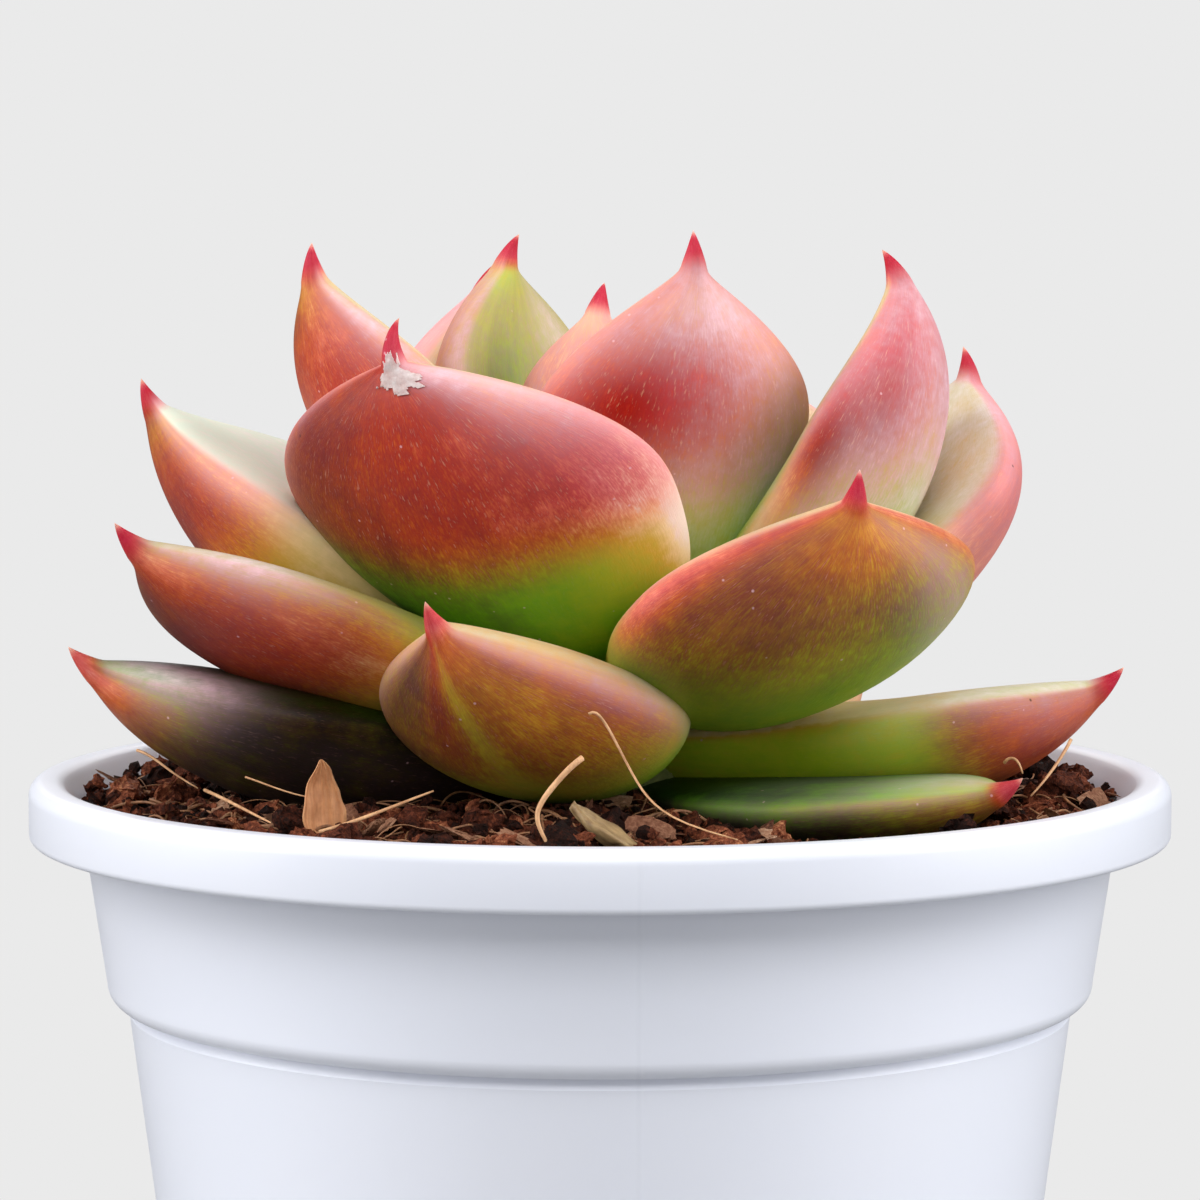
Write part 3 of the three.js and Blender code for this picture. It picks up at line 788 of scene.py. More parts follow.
@dataclass
class Rosette:
    """The leaves, numbered by age from 0 at the bottom, a golden angle apart."""

    count: int = 28
    first_turn: float = 60.0
    shorter_from: int = 11
    mature: int = 17
    upright_from: int = 20
    low_count: int = 9
    low_top: float = 93.0
    seed: int = 5
    leaves: list[Leaf] = field(default_factory=list)

    DIFFERS = {
        0: dict(
            turn=53, height=83.5, lift=-2, curl=17, sway=-3.5, length=38.5, width=23.5, thickness=6.4,
            cup=0.07,
        ),
        1: dict(turn=288, height=86.5, lift=3, curl=23, sway=3, length=47.5, width=26, cup=0.12),
        2: dict(turn=160, length=37, width=28),
        3: dict(
            turn=341, height=89.5, reach=3.6, lift=5, curl=35, sway=-14, roll=3, length=39, width=26,
            thickness=11.5, cup=0, widest=0.46,
        ),
        4: dict(length=41),
        5: dict(turn=82, height=88, lift=-4, roll=-8, length=41, width=28, thickness=9.5),
        6: dict(
            turn=296, height=91.5, reach=5, lift=13, curl=18, sway=7, roll=9, length=47, width=28,
            thickness=9.5, cup=0,
        ),
        7: dict(lift=14, length=41),
        8: dict(
            turn=36, height=96, reach=5.5, lift=5, curl=53, sway=-16, roll=5, length=38.5, width=32.5,
            thickness=12.5, cup=0, taper=1,
        ),
        9: dict(
            turn=261, height=93.5, reach=5.2, lift=21, sway=13, roll=-5, length=46.5, width=35,
            thickness=12, cup=0.22, widest=0.6,
        ),
        10: dict(
            turn=112, height=95, lift=8, curl=79, sway=4, roll=-2, width=37, thickness=10.5, cup=0.17,
            widest=0.62, taper=0.95,
        ),
        11: dict(
            turn=329, height=96.5, reach=3, lift=26, curl=36, sway=-9, roll=10, length=44.5, width=36,
            cup=0.14, widest=0.56, taper=0.75, hook=75, point=4,
        ),
        12: dict(
            turn=228, height=95.7, lift=45, curl=61, sway=2, roll=4.5, length=38, width=29, thickness=11,
        ),
        13: dict(turn=74, height=97, lift=27, curl=77, sway=5, roll=-4, width=30, thickness=9.5, cup=0.14),
        14: dict(turn=292, height=99, lift=38, curl=33, sway=1, width=28.5, thickness=9.5, cup=0.15),
        15: dict(
            turn=160, height=99.5, lift=41, curl=26, sway=4, roll=-7, length=30, width=30, thickness=10,
        ),
        16: dict(
            turn=17, height=98, reach=3.5, lift=55, curl=25, sway=5, roll=2, length=38.5, width=25.5,
            thickness=9, widest=0.51,
        ),
        17: dict(
            turn=242, height=100, lift=60, curl=41, sway=3, roll=2, length=34, width=27, thickness=8.5,
        ),
        18: dict(turn=104, lift=62, length=24, width=18),
        19: dict(turn=337, height=100, lift=72, curl=36, roll=-4, length=29, width=15, thickness=7),
        20: dict(lift=66, curl=25, length=22, width=17),
        **{
            21 + i: dict(length=20 - 2 * i, width=width)
            for i, width in enumerate((14, 13, 11, 9.5, 8, 6.5, 5))
        },
    }

    FLUSHES = {
        0: LeafFlush(
            green=(1.05, 0.55), green_reach=(0.5, 0.95), red=(0.35, 0.5), red_reach=(0.4, 0.8),
            inner_green=(1.0, 0.62), inner_red=0.12, inner_bloom=0.12, edge_green=0.6, edge_red=0.35,
            tip_red=0.8, stains=(Stain(BLOOM_AND_SHEEN, 0.85, 95, 0.15, 50, 0.5),
            Stain(GREEN, 0.9, 95, 0.1, 50, -0.2)),
        ),
        # leaf_02: green, inner green and edge green at 1 and above darken it to nearly black. This is
        # painted shade where it lies under leaf_07.
        1: LeafFlush(
            green=(1.0, 0.34), green_reach=(0.68, 0.92), red=(0.85, 0.64), red_reach=(0.2, 0.6),
            inner_green=(1.05, 0.95), inner_red=0.45, inner_bloom=0.0, edge_green=0.95, edge_red=0.75,
            edge_bloom_and_rim_light=0.0, tip_red=0.6, stains=(Stain(BLOOM_AND_SHEEN, 0.84, 32, 0.1, 45, 0.85),
            Stain(GREEN, 0.95, 0, 0.06, 60, -0.3), Stain(RED, 0.86, 20, 0.1, 55, -0.35)),
        ),
        3: LeafFlush(
            green=(0.68, 0.44), green_reach=(0.28, 0.42), red=(0.08, 0.5), red_reach=(0.35, 0.64),
            edge_green=0.3, edge_bloom_and_rim_light=0.5, outer_bloom=0.03, tip_red=0.7,
            stains=(Stain(GREEN, 0.72, -140, 0.3, 35, 0.34), Stain(RED, 0.7, -140, 0.3, 32, 0.26),
            Stain(GREEN, 0.93, -90, 0.07, 90, -0.2), Stain(RED, 0.5, -90, 0.12, 25, -0.2),
            Stain(RED, 0.75, -84, 0.3, 7, -0.25), Stain(RED, 0.8, -104, 0.2, 10, 0.2),
            Stain(RED, 0.65, -14, 0.25, 12, 0.25)),
        ),
        # leaf_06: its paler yellow-green base is partly its own colour, partly painted light that makes up
        # for the shade of leaf_09 over it.
        5: LeafFlush(
            green=(0.5, 0.34), green_reach=(0.48, 0.76), red=(0.0, 0.68), red_reach=(0.5, 0.76),
            inner_green=(0.12, 0.55), inner_bloom=0.75, inner_red=0.12, edge_green=0.46, edge_red=0.62,
            edge_bloom_and_rim_light=0.2, stains=(Stain(BLOOM_AND_SHEEN, 0.85, -160, 0.12, 40, 0.15),
            Stain(BLOOM_AND_SHEEN, 0.3, 130, 0.15, 60, -0.3)),
        ),
        6: LeafFlush(
            green=(0.52, 0.42), green_reach=(0.3, 0.5), red=(0.08, 0.8), red_reach=(0.38, 0.66),
            inner_green=(0.8, 0.5), inner_bloom=0.2, inner_red=0.2, edge_green=0.55, edge_red=0.45,
            edge_bloom_and_rim_light=0.1, stains=(Stain(GREEN, 0.82, -130, 0.14, 38, 0.28),
            Stain(GREEN, 0.65, -35, 0.3, 28, -0.18), Stain(GREEN, 0.94, -60, 0.06, 70, -0.22),
            Stain(RED, 0.75, -110, 0.15, 40, 0.1), Stain(RED, 0.8, -28, 0.3, 25, -0.25),
            Stain(RED, 0.95, -60, 0.06, 60, -0.3), Stain(BLOOM_AND_SHEEN, 0.82, 25, 0.13, 40, 0.85)),
        ),
        8: LeafFlush(
            green=(0.56, 0.58), green_reach=(0.3, 0.42), red=(0.0, 0.5), red_reach=(0.42, 0.85),
            edge_green=0.22, edge_red=0.56, edge_bloom_and_rim_light=0.1,
            # leaf_09: the bloom stain on the lower right of the outer face is painted sheen, in the pale
            # mint bloom colour.
            stains=(Stain(BLOOM_AND_SHEEN, 0.66, -38, 0.22, 22, 0.38), Stain(RED, 0.62, -168, 0.2, 38, 0.36),
            Stain(GREEN, 0.4, -175, 0.16, 30, 0.12), Stain(GREEN, 0.88, -90, 0.1, 90, -0.2),
            Stain(GREEN, 0.62, 172, 0.2, 26, -0.18), Stain(RED, 0.68, -122, 0.13, 28, 0.16),
            Stain(GREEN, 0.62, -60, 0.16, 22, 0.14)),
        ),
        9: LeafFlush(
            green=(0.55, 0.42), green_reach=(0.3, 0.6), red=(0.0, 0.8), red_reach=(0.5, 0.76),
            inner_green=(0.4, 0.04), inner_bloom=1.1, inner_red=0.0, edge_green=0.22, edge_red=0.35,
            edge_bloom_and_rim_light=0.5, stains=(Stain(GREEN, 0.4, -30, 0.25, 35, -0.2),
            Stain(RED, 0.92, -40, 0.06, 60, -0.3)),
        ),
        10: LeafFlush(
            green=(0.5, 0.1), red=(0.05, 0.62), red_reach=(0.3, 0.72), outer_bloom=0.3,
            inner_green=(0.12, 0.42), inner_red=0.12, inner_bloom=0.75, edge_green=0.1, edge_red=0.6,
            edge_bloom_and_rim_light=0.42, stains=(Stain(GREEN, 0.62, 78, 0.15, 18, 0.3),
            Stain(BLOOM_AND_SHEEN, 0.87, 180, 0.08, 60, 0.35)),
        ),
        11: LeafFlush(
            green=(0.78, 0.26), green_reach=(0.42, 0.64), red=(0.0, 0.78), red_reach=(0.4, 0.64),
            edge_green=0.1, edge_red=0.5, edge_bloom_and_rim_light=0.4, outer_bloom=0.03,
            stains=(Stain(GREEN, 0.65, -140, 0.3, 45, 0.32), Stain(GREEN, 0.55, -20, 0.25, 28, -0.16),
            Stain(GREEN, 0.42, -22, 0.18, 36, -0.34), Stain(RED, 0.8, -130, 0.25, 50, 0.1),
            Stain(RED, 0.5, -40, 0.15, 40, -0.15), Stain(RED, 0.86, -12, 0.08, 26, -0.3),
            # leaf_12: the two bloom stains, near the point and in the wide pale band along the right margin,
            # are partly real bloom and partly painted highlight.
            Stain(BLOOM_AND_SHEEN, 0.93, -50, 0.05, 50, 0.35), Stain(BLOOM_AND_SHEEN, 0.86, -18, 0.14, 30, 0.7)),
        ),
        12: LeafFlush(
            green=(0.5, 0.08), red=(0.1, 0.5), red_reach=(0.3, 0.7), outer_bloom=0.55,
            inner_green=(0.6, 0.3), inner_bloom=0.6, edge_green=0.05, edge_red=0.4, edge_bloom_and_rim_light=0.6,
        ),
        13: LeafFlush(
            green=(0.6, 0.24), green_reach=(0.45, 0.85), red=(0.1, 0.86), red_reach=(0.42, 0.82),
            edge_red=0.6, edge_bloom_and_rim_light=0.45, outer_bloom=0.74, stains=(Stain(RED, 0.58, -168, 0.16, 20, 0.5),
            Stain(BLOOM_AND_SHEEN, 0.58, -168, 0.16, 20, -0.5), Stain(RED, 0.73, -138, 0.12, 22, 0.38),
            Stain(BLOOM_AND_SHEEN, 0.73, -140, 0.13, 22, -0.52), Stain(RED, 0.62, -98, 0.16, 22, -0.2)),
        ),
        14: LeafFlush(
            green=(0.88, 0.26), green_reach=(0.3, 0.75), red=(0.0, 0.72), red_reach=(0.1, 0.55),
            edge_green=0.32, edge_red=0.2, edge_bloom_and_rim_light=0.9, stains=(Stain(RED, 0.93, -75, 0.08, 60, -0.42),
            Stain(BLOOM_AND_SHEEN, 0.86, -12, 0.1, 30, 0.2), Stain(GREEN, 0.88, -120, 0.15, 30, 0.2)),
        ),
        15: LeafFlush(
            green=(0.4, 0.06), red=(0.1, 0.5), red_reach=(0.3, 0.7), outer_bloom=0.5,
            inner_green=(0.5, 0.25), inner_bloom=0.5, edge_green=0.05, edge_red=0.35, edge_bloom_and_rim_light=0.55,
        ),
        16: LeafFlush(
            green=(0.52, 0.28), green_reach=(0.3, 0.75), red=(0.0, 0.68), red_reach=(0.32, 0.6),
            edge_green=0.2, edge_red=0.45, edge_bloom_and_rim_light=0.45, outer_bloom=0.52,
            stains=(Stain(RED, 0.56, -150, 0.12, 30, 0.42), Stain(RED, 0.67, -106, 0.11, 28, 0.43),
            Stain(RED, 0.85, -90, 0.07, 60, -0.3), Stain(BLOOM_AND_SHEEN, 0.64, -124, 0.13, 40, -0.52),
            Stain(BLOOM_AND_SHEEN, 0.84, -80, 0.08, 50, 0.38), Stain(GREEN, 0.5, -45, 0.2, 30, 0.15),
            Stain(RED, 0.6, -35, 0.25, 30, -0.22)),
        ),
        17: LeafFlush(
            green=(0.5, 0.4), red=(0.1, 0.52), red_reach=(0.2, 0.7), outer_bloom=0.4,
            inner_green=(0.76, 0.55), inner_red=0.22, inner_bloom=0.2, edge_green=0.44, edge_red=0.36,
            edge_bloom_and_rim_light=0.65, stains=(Stain(GREEN, 0.63, 62, 0.12, 25, 0.15),
            Stain(BLOOM_AND_SHEEN, 0.72, 118, 0.15, 25, 0.5), Stain(RED, 0.9, -20, 0.05, 90, -0.25)),
        ),
        19: LeafFlush(
            green=(0.35, 0.2), red=(0.2, 0.5), red_reach=(0.3, 0.7), outer_bloom=0.5, edge_green=0.1,
            edge_bloom_and_rim_light=0.6, stains=(Stain(RED, 0.88, -90, 0.1, 60, -0.28),),
        ),
    }

    def rule(self, age: int) -> dict[str, float]:
        """A leaf's measures by its age alone.

        Args:
            age: its number, from 0 at the bottom.

        Returns:
            Values for the leaf's fields.
        """
        young = max(0, age - self.shorter_from) / (self.count - self.shorter_from)
        inner = max(0, age - self.mature + 1)
        upright = self.upright_from
        length = 44.0 * (1.0 - 0.8 * young**1.6)
        return dict(
            turn=self.first_turn - GOLDEN_ANGLE * age,
            height=84.5 + 0.95 * min(age, self.mature - 1) + 0.45 * inner,
            reach=4.2 - 0.22 * inner,
            lift=-2 + 75 * (age / upright) ** 1.7 if age <= upright else 73 + 2 * (age - upright),
            length=length,
            width=length * (0.7 - 0.02 * inner),
            thickness=length * 0.25,
            point=3 if age < upright else 2,
            point_radius=1.1 if age < upright else 0.8,
        )

    def flush_by_age(self, age: int, draw: random.Random) -> LeafFlush:
        """A leaf's colours where nothing is known of them: its age and a small draw decide.

        Args:
            age: its number, from 0 at the bottom.
            draw: the source of chance.

        Returns:
            The colours.
        """
        young = smooth(10.0, 27.0, np.float64(age))
        return LeafFlush(
            green=(0.74 - 0.15 * young, 0.48 - 0.25 * young + draw.uniform(-0.08, 0.08)),
            green_reach=(0.3 - 0.1 * young, 0.7 - 0.1 * young),
            red=(0.0, 0.72 - 0.2 * young + draw.uniform(-0.12, 0.08)),
            red_reach=(0.38, 0.68 + draw.uniform(-0.04, 0.08)),
            inner_bloom=0.5 - 0.2 * young,
            inner_green=(0.72, 0.42),
            outer_bloom=draw.uniform(0.02, 0.2) + 0.25 * young,
            edge_red=0.35 + draw.uniform(-0.1, 0.15),
            edge_bloom_and_rim_light=0.45,
            stains=(
                Stain(RED, draw.uniform(0.55, 0.85), draw.uniform(-160, -20), 0.12, 35, 0.25),
                Stain(BLOOM_AND_SHEEN, draw.uniform(0.5, 0.85), draw.uniform(-160, -20), 0.12, 35, 0.4),
                Stain(GREEN, draw.uniform(0.5, 0.85), draw.uniform(-160, -20), 0.2, 35, 0.3),
            ),
        )

    def build(self, material: Material) -> None:
        """Grows every leaf.

        Args:
            material: the skin that the leaves share.
        """
        draw = random.Random(self.seed)
        for age in range(self.count):
            measures = {**self.rule(age), **self.DIFFERS.get(age, {})}
            flush = self.flush_by_age(age, draw)
            leaf = Leaf(age=age, flush=self.FLUSHES.get(age, flush), **measures)
            leaf.build(material)
            self.leaves.append(leaf)

    def low_skin(self) -> np.ndarray:
        """Places on the lower leaves, in millimetres, which the mix keeps clear of.

        Returns:
            Rows of x, y and z.
        """
        s, around = np.meshgrid(np.linspace(0.0, 1.0, 50), np.linspace(-np.pi, np.pi, 48))
        rows = [leaf.skin(s.ravel(), around.ravel()) for leaf in self.leaves[: self.low_count]]
        places = np.vstack(rows)
        return places[places[:, 2] < self.low_top]


@dataclass(frozen=True)
class NurseryPot:
    """The lipped pot: its foot, tapered body, stepped collar and rounded rim."""

    height: float = 85.0
    rim_radius: float = 50.0
    rim_inner_radius: float = 46.5
    rim_round: float = 1.3
    lip_height: float = 5.2
    collar_radius: float = 45.2
    collar_height: float = 14.4
    collar_draft: float = 0.15
    step_round: float = 1.75
    draft: float = 0.131
    wall: float = 1.6
    foot_rise: float = 2.6
    foot_width: float = 2.6
    steps: int = 224
    drain_ring: float = 19.0
    drain_radius: float = 4.0
    drain_centre_radius: float = 4.5
    drain_count: int = 5
    drill_depth: float = 12.0
    sharp_from: float = 38.0

    @property
    def floor_top(self) -> float:
        """The height of the floor inside."""
        return self.foot_rise + self.wall

    @property
    def lip_bottom(self) -> float:
        """The height of the lip's lower edge."""
        return self.height - self.lip_height

    @property
    def collar_bottom(self) -> float:
        """The height of the step under the collar."""
        return self.lip_bottom - self.collar_height

    @property
    def neck(self) -> Pair:
        """Radius and height at the top of the collar's inner wall."""
        return self.collar_radius - self.wall, self.lip_bottom - 1.0

    @property
    def mouth(self) -> Pair:
        """Radius and height where the inner wall meets the rim's round."""
        return self.rim_inner_radius + 0.08, self.height - 0.86

    @property
    def body_top_radius(self) -> float:
        """The body's radius under the step."""
        foot = self.collar_radius - self.collar_draft * (self.collar_height - self.step_round)
        return foot - self.step_round

    @property
    def body_foot_radius(self) -> float:
        """The body's radius at the foot."""
        return self.body_top_radius - self.draft * self.collar_bottom

    def wall_inside(self, height: float) -> float:
        """The inner radius of the body at a height."""
        return self.body_foot_radius - self.wall + self.draft * height

    def inner_wall(self) -> list[Pair]:
        """The inner wall from the floor up, as radius and height."""
        floor = self.floor_top
        return [
            (self.wall_inside(floor) - 1.5, floor),
            (self.wall_inside(floor + 0.5) - 0.5, floor + 0.5),
            (self.wall_inside(floor + 2.0), floor + 2.0),
            (self.wall_inside(self.collar_bottom), self.collar_bottom + 1.0),
            self.neck,
            self.mouth,
        ]

    def outline(self) -> list[Pair]:
        """The whole section, from the axis under the foot round to the axis on the floor.

        Returns:
            Radius and height of each point.
        """
        foot, top = self.body_foot_radius, self.body_top_radius
        step, lip = self.collar_bottom, self.lip_bottom
        crown, curve = self.height - self.rim_round, self.rim_round
        return [
            (0.0, self.foot_rise),
            (foot - self.foot_width - 0.6, self.foot_rise),
            (foot - self.foot_width, 0.25),
            (foot - self.foot_width + 0.25, 0.0),
            (foot - 0.55, 0.0),
            (foot - 0.15, 0.15),
            (foot, 0.5),
            (between(foot, top, 0.5), between(0.5, step, 0.5)),
            (top - 0.15, step - 1.0),
            (top - 0.42, step - 0.55),
            (top - 0.55, step - 0.2),
            (top - 0.45, step + 0.02),
            *arc((top, step + self.step_round), self.step_round, -88.0, 0.0, 10),
            (self.collar_radius - 0.06, lip - 0.5),
            (self.collar_radius + 0.1, lip - 0.12),
            (self.collar_radius + 0.45, lip),
            (self.rim_radius - 0.75, lip),
            *arc((self.rim_radius - 0.6, lip + 0.6), 0.6, -75.0, 0.0, 4),
            *arc((self.rim_radius - curve, crown), curve, 0.0, 90.0, 9),
            *arc((self.rim_inner_radius + curve, crown), curve, 90.0, 135.0, 5),
            *reversed(self.inner_wall()),
            (0.0, self.floor_top),
        ]

    def build(self, material: Material) -> None:
        """Spins the pot and drills its drain holes.

        Args:
            material: the plastic.
        """
        piece = object_from(spun(self.outline(), self.steps), "nursery_pot", material)
        drills = bmesh.new()
        headings = [360.0 / self.drain_count * (i + 0.5) for i in range(self.drain_count)]
        holes = [(*heading_point(heading, self.drain_ring), self.drain_radius) for heading in headings]
        for x, y, radius in [*holes, (0.0, 0.0, self.drain_centre_radius)]:
            place = Matrix.Translation((x * MM, y * MM, self.floor_top * MM))
            sizes = {"radius1": radius * MM, "radius2": radius * MM, "depth": self.drill_depth * MM}
            bmesh.ops.create_cone(drills, cap_ends=True, segments=40, matrix=place, **sizes)
        cutter = object_from(drills, "drain_drills", material, rounded=False)
        cut = piece.modifiers.new("drain", "BOOLEAN")
        cut.operation = "DIFFERENCE"
        cut.solver = "EXACT"
        cut.object = cutter
        shape = finished_mesh(piece)
        piece.modifiers.clear()
        piece.data = shape
        bpy.data.objects.remove(cutter)
        piece.data.set_sharp_from_angle(angle=math.radians(self.sharp_from))
        place_piece(piece, "pot", "pot")


@dataclass
class PottingMix:
    """Coarse bark and coir: a relief bed with chips, crumbs and fibres lying on it."""

    pot: NurseryPot
    clear: float = 0.36
    wall_depth: float = 2.4
    mound: float = 1.4
    hollow_heading: float = 34.0
    hollow_distance: float = 31.0
    hollow_width: float = 13.0
    hollow_depth: float = 1.9
    ripple: float = 0.35
    bed_rings: int = 120
    bed_steps: int = 420
    seed: int = 23
    leaf_skin: np.ndarray = field(default_factory=lambda: np.zeros((0, 3)))
    clearings: tuple[Triple, ...] = ((0.6, -39.0, 3.4), (-22.4, -31.2, 2.6))
    stem_reach: float = 8.0
    tilt: float = 0.45
    overhang: float = 0.7

    @property
    def edge(self) -> float:
        """The height where the mix meets the wall."""
        return self.pot.height - self.wall_depth

    @property
    def radius(self) -> float:
        """The mix's radius at its top."""
        (neck, low), (mouth, high) = self.pot.neck, self.pot.mouth
        return between(neck, mouth, (self.edge - low) / (high - low)) - self.clear

    def level(self, x: np.ndarray, y: np.ndarray) -> np.ndarray:
        """The height of the bed's top, before its relief.

        Args:
            x: places across.
            y: places towards the back.

        Returns:
            The heights, in millimetres.
        """
        mound = self.mound * (1.0 - (np.hypot(x, y) / self.radius) ** 2)
        ripple = np.sin(x * 0.41 + 1.3) * np.cos(y * 0.37 - 0.6) + 0.6 * np.sin(x * 0.83 - y * 0.71)
        hollow_x, hollow_y = heading_point(self.hollow_heading, self.hollow_distance)
        away = np.hypot(x - hollow_x, y - hollow_y)
        dip = self.hollow_depth * np.exp(-((away / self.hollow_width) ** 2))
        return self.edge + mound + self.ripple * ripple - dip

    def level_at(self, x: float, y: float) -> float:
        """The height of the bed's top at one place, before its relief."""
        return float(self.level(np.float64(x), np.float64(y)))

    def build_bed(self, material: Material) -> None:
        """Spins the body of the mix and works its top into crumbs.

        Args:
            material: the dark bed.
        """
        wall = [(radius - self.clear, height) for radius, height in self.pot.inner_wall()[:-1]]
        floor = wall[0][1] + 0.3
        wall = [(radius, max(height, floor)) for radius, height in wall]
        top = [(self.radius * (1.0 - i / self.bed_rings), self.edge) for i in range(self.bed_rings + 1)]
        bed = spun([(0.0, floor), *wall[1:], *top], self.bed_steps)
        piece = object_from(bed, "mix_bed", material)
        places = corners_of(piece.data) / MM
        upper = places[:, 2] > self.edge - 0.01
        x, y = places[upper, 0], places[upper, 1]
        inside = smooth(0.0, 2.5, self.radius - np.hypot(x, y))
        relief = np.array([self.relief(px, py) for px, py in zip(x, y)])
        places[upper, 2] = self.level(x, y) + relief * inside
        set_corners(piece.data, places * MM)
        place_piece(piece, "potting_mix", "potting_mix")

    @staticmethod
    def relief(x: float, y: float) -> float:
        """Crumbly relief of the bed at a place, in millimetres.

        Args:
            x: the place across.
            y: the place towards the back.

        Returns:
            The height over the bed's level.
        """
        spot = Vector((x, y, 0.0))
        lump = noise.noise(spot * 0.42) * 1.2
        crumb = noise.noise(spot * 1.1 + Vector((7.0, 3.0, 1.0))) * 0.9
        grit = noise.noise(spot * 2.6) * 0.36
        return lump + crumb + grit - 0.8

    def is_free(self, x: float, y: float, top: float, reach: float) -> bool:
        """Whether a piece with that reach and top height stays clear of the leaves."""
        near = np.hypot(self.leaf_skin[:, 0] - x, self.leaf_skin[:, 1] - y) < reach
        return not near.any() or float(self.leaf_skin[near, 2].min()) > top - 0.25

    def chip_shapes(self, draw: random.Random, count: int, cuts: int) -> list[Mesh]:
        """Angular unit chips, made from cubes with their corners pushed about.

        Args:
            draw: the source of chance.
            count: how many shapes.
            cuts: how finely the cube is cut.

        Returns:
            Meshes about one unit across.
        """
        shapes = []
        for _ in range(count):
            bm = bmesh.new()
            bmesh.ops.create_cube(bm, size=1.0)
            bmesh.ops.subdivide_edges(bm, edges=bm.edges, cuts=cuts, use_grid_fill=True)
            offset = Vector([draw.uniform(0, 50) for _ in range(3)])
            for vert in bm.verts:
                vert.co = vert.co.lerp(vert.co.normalized() * 0.58, 0.55)
                push = noise.noise_vector(vert.co * 1.7 + offset) * 0.30
                craggy = noise.noise_vector(vert.co * 4.6 + offset) * 0.20
                vert.co += push + craggy + noise.noise_vector(vert.co * 9.5 + offset) * 0.11
            shape = bpy.data.meshes.new("chip")
            bm.to_mesh(shape)
            bm.free()
            shapes.append(shape)
        return shapes

    def scatter(
        self,
        name: str,
        material: Material,
        shapes: Sequence[Mesh],
        count: int,
        size: Pair,
        zone: Callable[[float, float], bool],
        lift: Pair,
        flat: Pair,
        draw: random.Random,
    ) -> None:
        """Lays many chips on the bed as one piece.

        Args:
            name: the piece's name.
            material: its finish.
            shapes: the unit chips to draw from.
            count: how many are tried.
            size: smallest and largest length.
            zone: says whether a place may have one.
            lift: least and most height of a chip's middle over the bed, as a share of its size.
            flat: least and most thickness, as a share of its length.
            draw: the source of chance.
        """
        heap = bmesh.new()
        for _ in range(count):
            distance = self.radius * math.sqrt(draw.random())
            x, y = heading_point(draw.uniform(0.0, 360.0), distance)
            length = between(*size, draw.random() ** 1.8)
            width = length * draw.uniform(0.45, 0.85)
            depth = length * draw.uniform(*flat)
            tilt = (draw.gauss(0.0, self.tilt), draw.gauss(0.0, self.tilt), draw.uniform(0.0, math.tau))
            raised = draw.uniform(*lift) * depth
            shape = draw.choice(shapes)
            if not zone(x, y) or math.hypot(x, y) + length * 0.5 > self.radius + self.overhang:
                continue
            middle = self.level_at(x, y) + self.relief(x, y) * 0.7 + raised
            if not self.is_free(x, y, middle + depth * 0.6, length * 0.5 + 0.3):
                continue
            stretch = Matrix.Diagonal((length * MM, width * MM, depth * MM, 1.0))
            turned = Euler(tilt).to_matrix().to_4x4() @ stretch
            chip = shape.copy()
            chip.transform(Matrix.Translation((x * MM, y * MM, middle * MM)) @ turned)
            heap.from_mesh(chip)
            bpy.data.meshes.remove(chip)
        place_piece(object_from(heap, name, material, rounded=False), "potting_mix")

    def strands(self, name: str, material: Material, routes: Iterable[Route]) -> None:
        """Thin tapering fibres or straws as one piece, a mesh made from curves.

        Args:
            name: the piece's name.
            material: its finish.
            routes: for each strand, its points in millimetres and its thickness.
        """
        curve = bpy.data.curves.new(name, "CURVE")
        curve.dimensions = "3D"
        curve.bevel_depth, curve.bevel_resolution, curve.resolution_u = 1.0, 1, 3
        curve.use_fill_caps = True
        for points, thickness in routes:
            strand = curve.splines.new("NURBS")
            strand.points.add(len(points) - 1)
            for i, (target, point) in enumerate(zip(strand.points, points)):
                target.co = (*(c * MM for c in point), 1.0)
                fade = 1.0 - 0.55 * (i / (len(points) - 1)) ** 2
                target.radius = thickness * 0.5 * MM * fade
            strand.order_u = min(4, len(points))
            strand.use_endpoint_u = True
        holder = linked(name + "_curve", curve)
        bm = bmesh.new()
        bm.from_mesh(finished_mesh(holder))
        bpy.data.objects.remove(holder)
        bmesh.ops.remove_doubles(bm, verts=bm.verts, dist=1e-7)
        bmesh.ops.recalc_face_normals(bm, faces=bm.faces)
        piece = object_from(bm, name, material)
        add_attribute(piece.data, "grain", corners_of(piece.data) / MM)
        place_piece(piece, "potting_mix")

    def loose_routes(self, draw: random.Random, count: int) -> list[Route]:
        """Short curved coir fibres that lie on the mix.

        Args:
            draw: the source of chance.
            count: how many are tried.

        Returns:
            Each fibre's points and thickness.
        """
        routes = []
        for _ in range(count):
            seat = draw.uniform(0.0, 360.0)
            x, y = heading_point(seat, self.radius * math.sqrt(draw.uniform(0.05, 0.93)))
            heading, turn = draw.uniform(0.0, math.tau), draw.gauss(0.0, 0.5)
            step, hump, thickness = draw.uniform(0.7, 2.0), draw.uniform(0.2, 1.6), draw.uniform(0.08, 0.34)
            points: list[Triple] = []
            for i in range(6):
                height = self.level_at(x, y) + self.relief(x, y) * 0.5
                points.append((x, y, height + 0.25 + hump * math.sin(math.pi * i / 5)))
                x += step * math.cos(heading)
                y += step * math.sin(heading)
                heading += turn
            inside = all(math.hypot(px, py) < self.radius - 0.4 for px, py, _ in points)
            if inside and all(self.is_free(px, py, pz + 0.3, 0.8) for px, py, pz in points[::2]):
                routes.append((points, thickness))
        return routes

